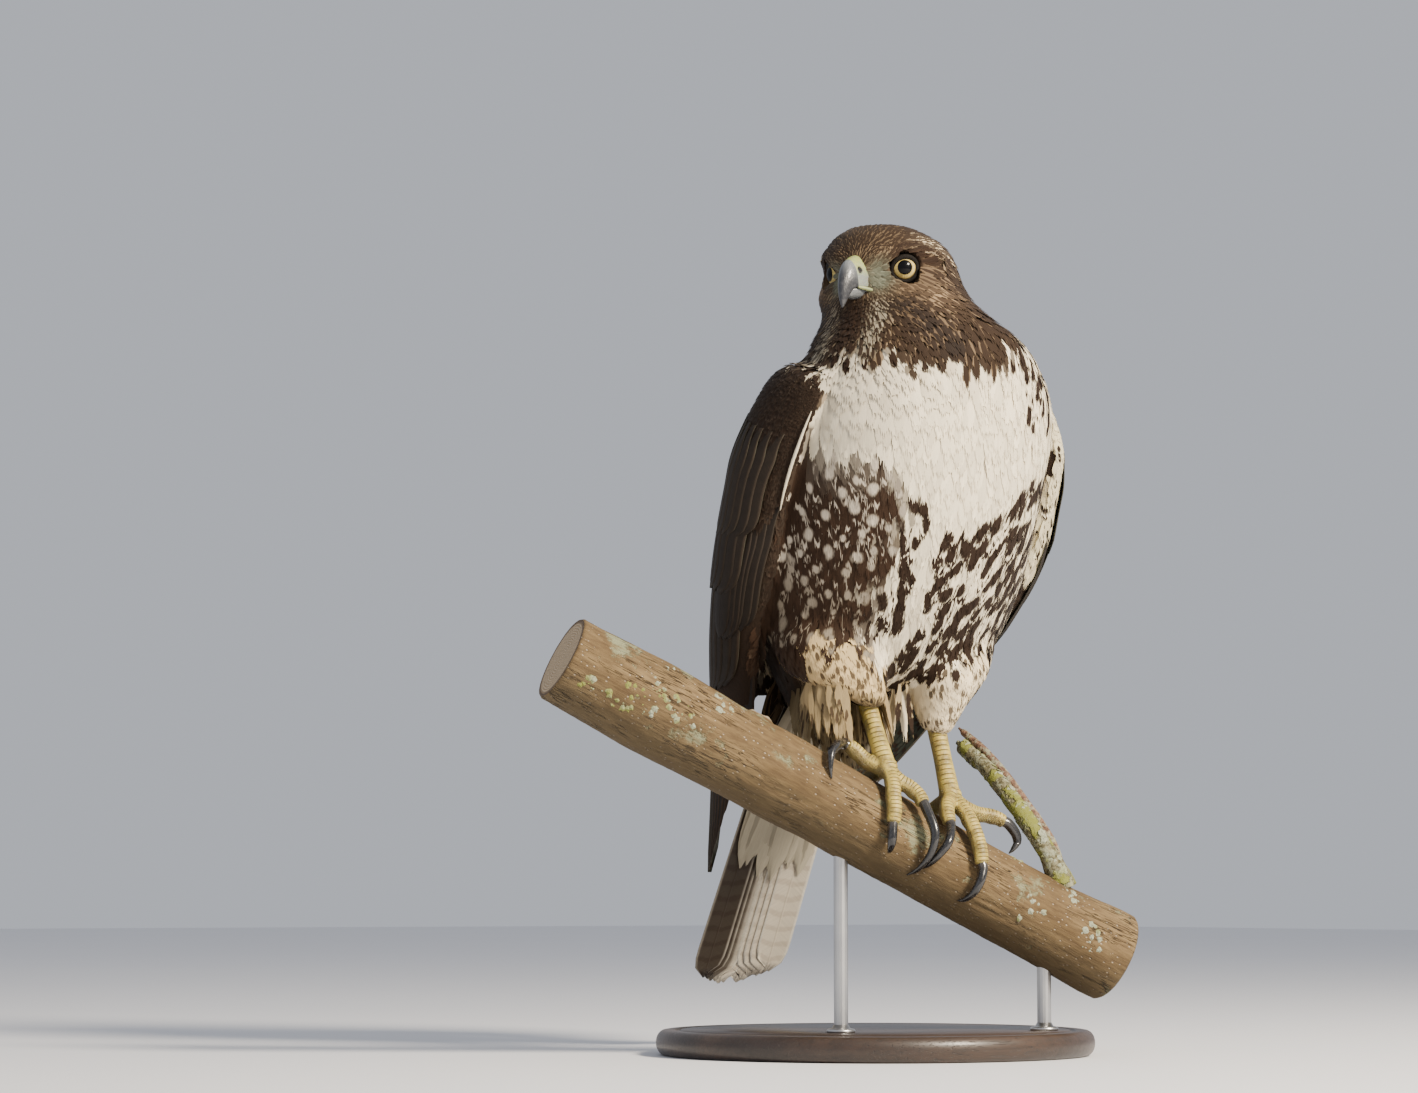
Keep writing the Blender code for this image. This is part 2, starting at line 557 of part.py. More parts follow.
def make_feet(thigh_rooms):
    """Scaled leg, ankle joint, four toes and four claws for each foot, closed round the branch."""
    for side, parts in FEET.items():
        ankle = from_grip(parts["ankle"])
        ball(f"foot_{side}", ankle, ANKLE_RADIUS * MM, LEG_SCALES)
        ankle_room = ball(f"ankle_room_{side}", ankle, ANKLE_RADIUS * MM + GAP, LEG_SCALES, "cutters")
        leg_top = from_grip(parts["leg_top"])
        leg = [ankle + (leg_top - ankle) * f for f in (0.0, 0.25, 0.5, 0.75, 1.0)]
        girth = np.array((6.8, 6.2, 5.8, 6.0, 6.2)) * MM
        cut(tube(f"tarsus_{side}", leg, girth, LEG_SCALES, 3), ankle_room, thigh_rooms[side])
        earlier = [tube(f"tarsus_room_{side}", leg, girth + GAP, LEG_SCALES, 3, "cutters")]
        for toe in ("front_middle", "front_outer", "front_inner", "rear"):
            line = curve_points(parts[toe], 5)
            radii = smooth(np.array(TOE_RADII)[:, None], np.linspace(0, 3, 5))[:, 0] * MM
            start_line = [Vector(ankle)] + line
            radii = np.concatenate(((4.6 * MM,), radii))
            piece = tube(f"{toe}_toe_{side}", start_line, radii, LEG_SCALES, 2)
            cut(piece, ankle_room, *earlier)
            earlier.append(tube(f"{toe}_room_{side}", start_line, radii + GAP, LEG_SCALES, 2, "cutters"))
            straight = (line[-1] - line[-2]).normalized()
            claw = [line[-1] + straight * GAP * 1.3, line[-1] + straight * CLAW_ROOT]
            claw += curve_points(parts[toe + "_claw"], 5)[1:]
            taper = np.array((CLAW_RADII[0], *CLAW_RADII)) * MM
            tube(f"{toe}_claw_{side}", claw, taper, CLAW_HORN, 2)


def build():
    start()
    perch_room = make_perch()
    make_stand(perch_room)
    trunk, head, trunk_room = make_body()
    make_eyes_and_bill(head)
    make_tail(trunk_room)
    make_wings(trunk_room)
    make_feet(make_thighs(trunk_room))


build()
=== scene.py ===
"""A young red tailed hawk at life size, gripping a cut branch over a plain display stand.

The sections follow the order in which such a model is put together: stand, branch, twigs, skin, eyes, bill,
legs, the coat of small feathers, the wings' and the tail's long feathers, then the room and the camera.
Lengths are in metres. Names that end in _mm hold millimetres, and the bird's own places are measured from the
grip, the point on the branch's axis between the feet. The bird faces -Y and its left side is at +X.
"""
import math

import bpy
import numpy as np
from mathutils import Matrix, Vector
from mathutils.bvhtree import BVHTree
from mathutils.kdtree import KDTree


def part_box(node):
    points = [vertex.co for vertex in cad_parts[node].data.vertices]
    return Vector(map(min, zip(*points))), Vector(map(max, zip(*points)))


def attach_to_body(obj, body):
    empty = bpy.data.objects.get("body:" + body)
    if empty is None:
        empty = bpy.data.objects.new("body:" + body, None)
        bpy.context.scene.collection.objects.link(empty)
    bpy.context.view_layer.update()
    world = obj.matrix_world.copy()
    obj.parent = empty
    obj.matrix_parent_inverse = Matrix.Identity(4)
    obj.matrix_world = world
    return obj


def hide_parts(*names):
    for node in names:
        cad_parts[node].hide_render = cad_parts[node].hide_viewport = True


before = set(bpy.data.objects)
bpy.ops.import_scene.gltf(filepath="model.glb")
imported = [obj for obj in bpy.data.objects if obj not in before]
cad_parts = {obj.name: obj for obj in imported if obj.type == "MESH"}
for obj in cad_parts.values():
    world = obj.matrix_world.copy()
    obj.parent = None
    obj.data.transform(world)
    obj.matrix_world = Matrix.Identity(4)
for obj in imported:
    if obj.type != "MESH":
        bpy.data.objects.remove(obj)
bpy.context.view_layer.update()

MM = 0.001

# Stand base
# A round base of dark stained hardwood, turned on a lathe, with a rounded edge and one shallow groove inside
# it. It lies flat on whatever carries the model, and both rods are let into its top.

BASE_GROOVE = 0.9  # the groove's radius as a share of the base's


class Wire:
    """A shader socket that stands in Python expressions: + - and * with numbers or wires add Math nodes."""

    def __init__(self, finish, socket):
        self.finish = finish
        self.socket = socket

    def math(self, operation, *values):
        return self.finish.node("Math", {"operation": operation}, dict(enumerate(values)))

    def __add__(self, other):
        return self.math("ADD", self, other)

    def __sub__(self, other):
        return self.math("SUBTRACT", self, other)

    def __rsub__(self, other):
        return self.math("SUBTRACT", other, self)

    def __mul__(self, other):
        return self.math("MULTIPLY", self, other)

    __radd__ = __add__
    __rmul__ = __mul__

    def within(self, low, high):
        """0 below low, 1 above high, and a smooth step between them."""
        return self.finish.node(
            "MapRange", {"interpolation_type": "SMOOTHSTEP"},
            {"Value": self, "From Min": low, "From Max": high}
        )


class Finish:
    """A Principled material built from wires. Keyword values are set on the shader's own sockets."""

    def __init__(self, name, **constants):
        self.material = bpy.data.materials.new(name)
        self.material.use_nodes = True
        self.tree = self.material.node_tree
        self.shader = self.tree.nodes["Principled BSDF"]
        for socket, value in constants.items():
            self.shader.inputs[socket.replace("_", " ")].default_value = value

    def node(self, kind, settings=None, inputs=None, output=0):
        """Any shader node: its settings come first, then the values or wires of its sockets."""
        made = self.tree.nodes.new("ShaderNode" + kind)
        for key, value in (settings or {}).items():
            if key == "stops":
                ramp = made.color_ramp.elements
                while len(ramp) < len(value):
                    ramp.new(0.5)
                for stop, (place, colour) in zip(ramp, value):
                    stop.position = place
                    stop.color = (*colour, 1.0)
            else:
                setattr(made, key, value)
        for key, value in (inputs or {}).items():
            if isinstance(value, Wire):
                self.tree.links.new(value.socket, made.inputs[key])
            else:
                made.inputs[key].default_value = value
        return Wire(self, made.outputs[output])

    def place(self):
        """The point on the surface in the model's frame, in metres."""
        return self.node("TexCoord", output="Object")

    def stretched(self, vector, x, y, z):
        """A vector with each part multiplied by its own number."""
        return self.node("VectorMath", {"operation": "MULTIPLY"}, {0: vector, 1: (x, y, z)})

    def noise(self, vector, scale, detail=2.0, roughness=0.5):
        return self.node(
            "TexNoise", None, {"Vector": vector, "Scale": scale, "Detail": detail, "Roughness": roughness}
        )

    def mix(self, share, first, second):
        """The first colour where share is 0, the second where it is 1. Colours are triples or wires."""
        first, second = ((*c, 1.0) if isinstance(c, tuple) else c for c in (first, second))
        return self.node("Mix", {"data_type": "RGBA"}, {0: share, 6: first, 7: second}, output=2)

    def tint(self, colour, amount):
        """A colour made lighter or darker by a number."""
        return self.node("VectorMath", {"operation": "SCALE"}, {0: colour, "Scale": amount})

    def paint(self, **sockets):
        """Links wires to the shader, and ends the work on the material."""
        for socket, wire in sockets.items():
            self.tree.links.new(wire.socket, self.shader.inputs[socket.replace("_", " ")])
        return self.material

    def bump(self, height, distance, strength=1.0):
        return self.node("Bump", None, {"Height": height, "Distance": distance, "Strength": strength})


def stained_wood(name):
    """Grain: noise stretched along X, bent by broad noise, drawn as thin dark lines on a dark brown."""
    wood = Finish(name, Roughness=0.42, Coat_Weight=0.25, Coat_Roughness=0.25)
    broad = wood.noise(wood.stretched(wood.place(), 3.0, 22.0, 22.0), 1.0, 3.0)
    grain = wood.noise(wood.stretched(wood.place(), 9.0, 420.0, 420.0), 1.0, 4.0, 0.6)
    pores = wood.noise(wood.stretched(wood.place(), 60.0, 1500.0, 1500.0), 1.0, 2.0).within(0.58, 0.7)
    colour = wood.mix(broad.within(0.3, 0.7), (0.022, 0.013, 0.009), (0.062, 0.036, 0.022))
    colour = wood.mix(grain.within(0.4, 0.75) * 0.6, colour, (0.012, 0.008, 0.006))
    colour = wood.mix(pores * 0.5, colour, (0.006, 0.004, 0.003))
    return wood.paint(
        Base_Color=colour,
        Roughness=0.34 + grain * 0.2,
        Normal=wood.bump(grain * 0.4 - pores, 0.0002),
    )


def meshed(name, points, faces, smooth=True):
    """An object in the scene from points and arrays of triangles or quads."""
    faces = [np.asarray(block) for block in faces if len(block)]
    corners = np.concatenate([block.ravel() for block in faces])
    sizes = np.concatenate([np.full(len(block), block.shape[1]) for block in faces])
    mesh = bpy.data.meshes.new(name)
    mesh.vertices.add(len(points))
    mesh.vertices.foreach_set("co", np.asarray(points, np.float32).ravel())
    mesh.loops.add(len(corners))
    mesh.loops.foreach_set("vertex_index", corners.astype(np.int32))
    mesh.polygons.add(len(sizes))
    mesh.polygons.foreach_set("loop_start", np.concatenate(([0], np.cumsum(sizes)[:-1])).astype(np.int32))
    mesh.polygons.foreach_set("use_smooth", np.full(len(sizes), smooth))
    mesh.update(calc_edges=True)
    made = bpy.data.objects.new(name, mesh)
    bpy.context.scene.collection.objects.link(made)
    return made


def piece(name, points, faces, material, slot, replaced=(), smooth=True):
    """A mesh in the model's frame that rides on the model, with its material.
    The slot argument is not used.
    """
    made = meshed(name, points, faces, smooth)
    made.data.materials.append(material)
    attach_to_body(made, "root")
    if replaced:
        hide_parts(*replaced)
    return made


def attach(made, name, values):
    """Stores a number, a vector or a colour with each point of a piece."""
    values = np.asarray(values, np.float32)
    width = 1 if values.ndim == 1 else values.shape[1]
    kind, key = {1: ("FLOAT", "value"), 3: ("FLOAT_VECTOR", "vector"), 4: ("FLOAT_COLOR", "color")}[width]
    made.data.attributes.new(name, kind, "POINT").data.foreach_set(key, values.ravel())


def chart(made, name, places):
    """A UV map from one place for each point of a piece."""
    corners = np.empty(len(made.data.loops), np.int32)
    made.data.loops.foreach_get("vertex_index", corners)
    made.data.uv_layers.new(name=name).data.foreach_set("uv", np.asarray(places, np.float32)[corners].ravel())


def skins(rows, around):
    """Quads of a tube of rings: each ring's points join the next ring's, all the way round, facing out."""
    start = np.arange(rows - 1)[:, None] * around
    step = np.arange(around)
    beside = (step + 1) % around
    quads = np.stack((start + step, start + beside, start + beside + around, start + step + around), axis=-1)
    return quads.reshape(-1, 4)


def capped(rings):
    """Points and faces of a closed tube: the rings, then a middle point in each end joined to its ring by
    a fan."""
    rows, around = rings.shape[:2]
    points = np.concatenate((rings.reshape(-1, 3), rings[:1].mean(1), rings[-1:].mean(1)))
    step = np.arange(around)
    beside = (step + 1) % around
    last = (rows - 1) * around
    first_fan = np.stack((np.full(around, rows * around), beside, step), axis=-1)
    last_fan = np.stack((np.full(around, rows * around + 1), last + step, last + beside), axis=-1)
    return points, [skins(rows, around), np.concatenate((first_fan, last_fan))]


def turned(centre, profile, around=96):
    """Rings of a lathe shape round a vertical axis: each (radius, height) of the profile becomes a circle."""
    profile = np.asarray(profile)
    angle = np.linspace(0, 2 * math.pi, around, endpoint=False)
    circle = np.stack((np.cos(angle), np.sin(angle)), axis=-1)
    level = np.broadcast_to(profile[:, 1, None, None], (len(profile), around, 1))
    return np.concatenate((profile[:, 0, None, None] * circle, level), axis=2) + np.asarray(centre)


base_low, base_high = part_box("stand_base")
base_radius, base_top = base_high.x, base_high.z
edge = np.linspace(-math.pi / 2, math.pi / 2, 13)
edge_round = base_top * 0.36
base_profile = [(0.3 * base_radius, 0.0)]
base_profile += [
    (base_radius - edge_round * (1 - math.cos(a)), base_top / 2 + (base_top / 2) * math.sin(a)) for a in edge
]
groove = np.linspace(0, math.pi, 7)
base_profile += [
    (base_radius * BASE_GROOVE + 2 * MM * math.cos(a), base_top - 1.1 * MM * math.sin(a)) for a in groove
]
base_profile.append((0.3 * base_radius, base_top))
base_centre = (0.5 * (base_low.x + base_high.x), 0.5 * (base_low.y + base_high.y), 0.0)
piece(
    "turned_base",
    *capped(turned(base_centre, base_profile)),
    stained_wood("stained_wood"),
    "stand_wood",
    ["stand_base"],
)

# Stand rods
# Two straight steel rods, 9 mm thick and finely brushed along their length. Each stands in the base in a thin
# turned collar and ends in the underside of the branch.


def hoop(rows, around):
    """Quads of a tube of rings whose last ring joins its first again."""
    return skins(rows + 1, around) % (rows * around)


def brushed_steel(name):
    """Fine lines that run up the rod: noise squeezed across it and drawn out along Z."""
    steel = Finish(name, Metallic=1.0)
    lines = steel.noise(steel.stretched(steel.place(), 2600.0, 2600.0, 16.0), 1.0, 3.0)
    clouds = steel.noise(steel.place(), 60.0, 3.0)
    return steel.paint(
        Base_Color=steel.mix(clouds, (0.46, 0.46, 0.47), (0.62, 0.62, 0.61)),
        Roughness=0.24 + lines * 0.22,
        Normal=steel.bump(lines, 0.00004),
    )


steel_finish = brushed_steel("brushed_steel")
collar_rings = []
for rod in ("stand_rod_1", "stand_rod_2"):
    low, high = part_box(rod)
    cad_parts[rod].data.materials.clear()
    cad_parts[rod].data.materials.append(steel_finish)
    middle = ((low.x + high.x) / 2, (low.y + high.y) / 2, base_top)
    rod_radius = (high.x - low.x) / 2
    collar = [(rod_radius * 1.02, 0.1 * MM), (rod_radius * 2.0, 0.1 * MM), (rod_radius * 2.0, 1.6 * MM)]
    collar += [(rod_radius * 1.8, 2.4 * MM), (rod_radius * 1.3, 2.8 * MM), (rod_radius * 1.02, 5.0 * MM)]
    collar_rings.append(turned(middle, collar, 40))
collar_points = np.concatenate([rings.reshape(-1, 3) for rings in collar_rings])
collar_faces = [hoop(*rings.shape[:2]) + i * rings[..., 0].size for i, rings in enumerate(collar_rings)]
piece("rod_collars", collar_points, collar_faces, steel_finish, "stand_steel")

# Branch
# A cut length of a smooth barked tree's branch, about 55 mm thick, sawn square at both ends. The bark is tan
# with pale pores, long dark cracks, rough scars where twigs were lost, and grey green lichen.

GRIP = np.array((0.0, -0.050, 0.128))
PERCH_RADIUS = 27.0 * MM
PERCH_YAW = math.radians(-12.0)
PERCH_PITCH = math.radians(27.0)
PERCH_START, PERCH_END = -261.6 * MM, 149.6 * MM
PERCH_ALONG = np.array((
    math.cos(PERCH_YAW) * math.cos(PERCH_PITCH),
    math.sin(PERCH_YAW) * math.cos(PERCH_PITCH),
    -math.sin(PERCH_PITCH),
))
PERCH_FRONT = np.array((math.sin(PERCH_YAW), -math.cos(PERCH_YAW), 0.0))
PERCH_UP = np.cross(PERCH_FRONT, PERCH_ALONG)
# Scars of lost twigs: distance along the branch, degrees from its top to the front, radius and height
SCARS = (
    (-0.131, 8, 0.013, 0.0026), (-0.207, 52, 0.009, 0.0016), (0.064, 78, 0.008, 0.0030),
    (0.139, 60, 0.010, 0.0024)
)


def lumps(places, size, seed):
    """Smooth random heights from -1 to 1: random values on a lattice, blended by smooth steps between its
    nodes."""
    cells = places / size
    low = np.floor(cells).astype(int)
    part = cells - low
    part = part * part * (3 - 2 * part)
    table = np.random.default_rng(seed).random((32, 32, 32))
    total = np.zeros(places.shape[:-1])
    for corner in np.ndindex(2, 2, 2):
        share = np.where(corner, part, 1 - part).prod(axis=-1)
        node = (low + corner) % 32
        total += share * table[node[..., 0], node[..., 1], node[..., 2]]
    return 2 * total - 1


def eased(value, low, high):
    """0 below low, 1 above high, smooth between."""
    t = np.clip((value - low) / (high - low), 0, 1)
    return t * t * (3 - 2 * t)


def bark_finish():
    """Colour by the place along and round the branch: tan, with painted shade where it faces down, and
    with pores, cracks and lichen.
    """
    bark = Finish("branch_bark", Roughness=0.85, Specular_IOR_Level=0.3)
    place = bark.node("Attribute", {"attribute_name": "along_and_round"}, output="Vector")
    height = bark.node("Attribute", {"attribute_name": "relief"}, output="Fac")
    clouds = bark.noise(bark.stretched(place, 14.0, 40.0, 40.0), 1.0, 4.0, 0.6)
    grain = bark.noise(bark.stretched(place, 70.0, 420.0, 420.0), 1.0, 5.0, 0.65)
    cracks = bark.noise(bark.stretched(place, 26.0, 300.0, 300.0), 1.0, 3.0, 0.6)
    crack = 1 - (cracks - 0.5).math("ABSOLUTE", cracks - 0.5).within(0.0, 0.028)
    crack = crack * clouds.within(0.46, 0.62)
    pores = bark.node(
        "TexVoronoi", None, {"Vector": bark.stretched(place, 210.0, 330.0, 330.0), "Scale": 1.0}
    )
    pore = 1 - pores.within(0.10, 0.22)
    lichen = bark.noise(bark.stretched(place, 26.0, 30.0, 30.0), 1.0, 5.0, 0.7).within(0.575, 0.66)
    shade = bark.node("SeparateXYZ", None, {0: bark.node("NewGeometry", output="Normal")}, output=2)
    colour = bark.mix(clouds.within(0.25, 0.75), (0.100, 0.062, 0.026), (0.250, 0.172, 0.082))
    colour = bark.mix(grain.within(0.35, 0.7) * 0.55, colour, (0.050, 0.027, 0.014))
    colour = bark.mix(pore * 0.7, colour, (0.45, 0.36, 0.26))
    colour = bark.mix(height.within(0.35, 1.0) * 0.75, colour, (0.46, 0.39, 0.29))
    colour = bark.mix(crack * 0.9, colour, (0.022, 0.013, 0.008))
    colour = bark.mix(lichen * grain.within(0.2, 0.6) * 0.8, colour, (0.26, 0.28, 0.17))
    # Painted shade: the bark darkens where its face turns down.
    colour = bark.mix(shade.within(0.1, -0.8) * 0.6, colour, (0.07, 0.055, 0.030))
    rough = grain * 0.8 - crack * 1.6 + pore * 0.5 + lichen * 0.8
    return bark.paint(Base_Color=colour, Normal=bark.bump(rough, 0.0012))


def sawn_finish():
    """Growth rings round the branch's axis, with fine rays and a pale sapwood, as a saw leaves them."""
    wood = Finish("sawn_wood", Roughness=0.8)
    place = wood.node("Attribute", {"attribute_name": "along_and_round"}, output="Vector")
    flat = wood.stretched(place, 0.0, 1.0, 1.0)
    out = wood.node("VectorMath", {"operation": "LENGTH"}, {0: flat}, output="Value")
    wobble = wood.noise(flat, 90.0, 3.0) * 0.0022
    rings = ((out + wobble) * 3400.0).math("SINE", (out + wobble) * 3400.0)
    saw = wood.noise(wood.stretched(place, 1.0, 900.0, 90.0), 1.0, 3.0)
    colour = wood.mix(rings.within(-1.0, 1.0), (0.36, 0.25, 0.14), (0.52, 0.40, 0.26))
    colour = wood.mix(out.within(0.0235, 0.0255), colour, (0.12, 0.075, 0.04))
    colour = wood.mix(saw.within(0.5, 0.8) * 0.35, colour, (0.25, 0.17, 0.10))
    return wood.paint(Base_Color=colour, Normal=wood.bump(rings * 0.3 + saw, 0.0004))


def swept(path, upward, reach):
    """Rings round a path: the circle's directions stand square to the path, angle 0 at the upward side,
    and reach gives the radius for each ring and angle."""
    path = np.asarray(path)
    heading = np.gradient(path, axis=0)
    heading /= np.linalg.norm(heading, axis=1)[:, None]
    side = np.cross(heading, upward)
    side /= np.linalg.norm(side, axis=1)[:, None]
    lift = np.cross(side, heading)
    angle = np.linspace(0, 2 * math.pi, reach.shape[1], endpoint=False)
    turn = np.cos(angle)[None, :, None] * lift[:, None] - np.sin(angle)[None, :, None] * side[:, None]
    return path[:, None] + reach[..., None] * turn


perch_rows, perch_around = 300, 112
perch_s = np.linspace(PERCH_START, PERCH_END, perch_rows)
perch_bend = np.where(perch_s > 0.03, 5 * MM * ((perch_s - 0.03) / 0.2) ** 2, 0)
perch_path = GRIP + perch_s[:, None] * PERCH_ALONG + perch_bend[:, None] * PERCH_UP
perch_swell = np.clip(
    (np.abs(perch_s + 0.01) - 0.07) / 0.08, 0, 1
) * (1.6 * MM + 0.8 * MM * np.sin(perch_s * 55))
perch_angle = np.linspace(0, 2 * math.pi, perch_around, endpoint=False)
bark_place = np.stack(np.broadcast_arrays(
    perch_s[:, None],
    PERCH_RADIUS * np.cos(perch_angle)[None],
    PERCH_RADIUS * np.sin(perch_angle)[None],
), axis=-1)
stretch = np.array((0.25, 1, 1))
relief = 0.45 * lumps(bark_place, 0.024, 1) + 0.22 * lumps(bark_place * stretch, 0.0042, 2)
relief += 0.16 * lumps(bark_place * np.array((0.6, 1, 1)), 0.0018, 3)
fissure = np.abs(lumps(bark_place * np.array((0.12, 1, 1)), 0.006, 4))
relief -= 0.7 * (1 - eased(fissure, 0.0, 0.10)) * eased(lumps(bark_place, 0.05, 5), -0.2, 0.3)
scar_height = np.zeros_like(relief)
for scar_s, scar_turn, scar_radius, scar_rise in SCARS:
    round_mm = PERCH_RADIUS * (np.mod(perch_angle - math.radians(scar_turn) + math.pi, 2 * math.pi) - math.pi)
    away = np.hypot(perch_s[:, None] - scar_s, round_mm[None] * 1.3) / scar_radius
    crust = 1 + 0.8 * lumps(bark_place, 0.0035, 6)
    scar_height += scar_rise * np.exp(-((away / 0.75) ** 4)) * crust
end_round = np.minimum(perch_s - PERCH_START, PERCH_END - perch_s)
end_round = -0.9 * MM * (1 - np.clip(end_round / 0.0012, 0, 1)) ** 2
perch_reach = PERCH_RADIUS + perch_swell[:, None] + relief * 0.9 * MM + scar_height + end_round[:, None]
perch_points, perch_faces = capped(swept(perch_path, PERCH_UP, perch_reach))
branch = piece("branch", perch_points, perch_faces, bark_finish(), "bark", ["perch"])
branch.data.materials.append(sawn_finish())
sawn = np.zeros(len(branch.data.polygons), np.int32)
sawn[len(perch_faces[0]):] = 1
branch.data.polygons.foreach_set("material_index", sawn)
branch.data.polygons.foreach_set("use_smooth", sawn == 0)
ends = np.array(((PERCH_START, 0, 0), (PERCH_END, 0, 0)))
attach(branch, "along_and_round", np.concatenate((bark_place.reshape(-1, 3), ends)))
attach(branch, "relief", np.concatenate((scar_height.ravel() / 0.0026, (0, 0))))

# Twigs
# Two dead twigs that leave the branch beside the bird's left foot: a grey green one grown over with lichen,
# and a thinner pinkish brown one just over it. Both are cut short.


def through(rows, at):
    """Smooth values between rows (Catmull-Rom): cubic curves that pass through every row."""
    rows = np.asarray(rows, float)
    ends_out = np.vstack((2 * rows[:1] - rows[1:2], rows, 2 * rows[-1:] - rows[-2:-1]))
    at = np.clip(np.atleast_1d(np.asarray(at, float)), 0, len(rows) - 1)
    low = np.minimum(at.astype(int), len(rows) - 2)
    f = (at - low)[:, None]
    a, b, c, d = ends_out[low], ends_out[low + 1], ends_out[low + 2], ends_out[low + 3]
    return 0.5 * (2 * b + (c - a) * f + (2 * a - 5 * b + 4 * c - d) * f**2 + (3 * b - a - 3 * c + d) * f**3)


def on_perch(rows):
    """Points beside the branch from millimetres along it, degrees from its top to the front, and radius."""
    along, turn, out = np.asarray(rows, float).T
    turn = np.radians(turn)
    around = np.cos(turn)[:, None] * PERCH_UP + np.sin(turn)[:, None] * PERCH_FRONT
    return GRIP + MM * (along[:, None] * PERCH_ALONG + out[:, None] * around)


def twig_finish(name, pale, dark, moss_share):
    """Streaky bark with raised lichen and moss where broad noise is high."""
    twig = Finish(name, Roughness=0.9, Specular_IOR_Level=0.25)
    streaks = twig.noise(twig.place(), 420.0, 4.0, 0.6)
    crust = twig.noise(twig.place(), 190.0, 5.0, 0.7)
    moss = twig.noise(twig.place(), 60.0, 4.0, 0.6).within(0.62 - moss_share, 0.70 - moss_share)
    colour = twig.mix(streaks.within(0.35, 0.65), dark, pale)
    colour = twig.mix(crust.within(0.48, 0.6) * 0.7, colour, (0.33, 0.35, 0.24))
    colour = twig.mix(moss * 0.85, colour, (0.20, 0.21, 0.035))
    return twig.paint(Base_Color=colour, Normal=twig.bump(streaks * 0.5 + crust + moss, 0.0012))


TWIG_MM = ((97, 8, 25), (81, 6, 38), (58, -7, 55), (34, -24, 82), (15, -36, 110))
TWIG_RADII_MM = (9.5, 6.6, 6.0, 5.4, 4.8)
TWIG_FORK_SIDE = np.array((3.5, 4.0, 9.5)) * MM


def twig_piece(name, joints, radii_mm, roughness_mm, material, replaced):
    """A knobbly round bar through its joints; its radius swells by lumpy noise of a few millimetres."""
    rows, around = 110, 22
    at = np.linspace(0, len(joints) - 1, rows)
    path = through(joints, at)
    radii = through(np.array(radii_mm)[:, None], at) * MM
    rings = swept(path, PERCH_FRONT, np.repeat(radii, around, axis=1))
    swell = 0.6 * lumps(rings, 0.009, 8) + 0.4 * lumps(rings, 0.0035, 9)
    taper = np.clip((rows - 1 - np.arange(rows)) / 4, 0.35, 1)[:, None]
    rings = swept(path, PERCH_FRONT, (radii + roughness_mm * MM * swell) * taper)
    return piece(name, *capped(rings), material, "twig_bark", [replaced])


twig_joints = on_perch(TWIG_MM)
twig_piece(
    "lichened_twig", twig_joints, TWIG_RADII_MM, 0.9,
    twig_finish("lichened_twig_bark", (0.22, 0.20, 0.12), (0.07, 0.06, 0.03), 0.12), "perch_twig",
)
fork_joints = np.concatenate((on_perch([(94, 0, 32)]), twig_joints[1:] + TWIG_FORK_SIDE))
twig_piece(
    "pink_brown_twig", fork_joints, (3.8, 3.4, 3.0, 2.8, 2.4), 0.35,
    twig_finish("pink_brown_bark", (0.22, 0.13, 0.085), (0.09, 0.048, 0.032), 0.0), "perch_twig_fork",
)

# Lichen
# Leafy grey green and yellow green crusts that grow on the upper side of the branch and on the thick twig.
# Each is a small crinkled rosette, grown flat onto the bark.

LICHEN_COUNT = 420
LICHEN_SUNK = 0.00035  # metres by which a rosette lies in the bark


def lichen_finish():
    lichen = Finish("lichen", Roughness=0.95, Specular_IOR_Level=0.2)
    place = lichen.place()
    kind = lichen.noise(place, 45.0, 2.0)
    grain = lichen.noise(place, 900.0, 3.0)
    colour = lichen.mix(kind.within(0.45, 0.6), (0.34, 0.36, 0.27), (0.24, 0.25, 0.06))
    colour = lichen.mix(grain.within(0.4, 0.7) * 0.5, colour, (0.12, 0.13, 0.07))
    return lichen.paint(Base_Color=colour, Normal=lichen.bump(grain, 0.0006))


def rosettes(centres, outward, radius, seed):
    """Crinkled discs: a middle point and a ring whose radius and height waver, each lying square to
    outward."""
    random = np.random.default_rng(seed)
    petals = 11
    across = np.cross(outward, np.array((0.31, 0.52, 0.79)))
    across /= np.linalg.norm(across, axis=1)[:, None]
    beside = np.cross(outward, across)
    angle = np.linspace(0, 2 * math.pi, petals, endpoint=False)
    reach = radius[:, None] * (0.65 + 0.5 * random.random((len(centres), petals)))
    rise = 0.16 * radius[:, None] * random.random((len(centres), petals))
    ring = centres[:, None] + (reach * np.cos(angle))[..., None] * across[:, None]
    ring = ring + (reach * np.sin(angle))[..., None] * beside[:, None]
    ring = ring + (rise - LICHEN_SUNK)[..., None] * outward[:, None]
    points = np.concatenate(
        (centres[:, None] + 0.32 * radius[:, None, None] * outward[:, None], ring), axis=1
    )
    step = np.arange(petals)
    fan = np.stack((np.zeros(petals, int), 1 + step, 1 + (step + 1) % petals), axis=-1)
    return points.reshape(-1, 3), [
        (fan[None] + np.arange(len(centres))[:, None, None] * (petals + 1)).reshape(-1, 3)
    ]


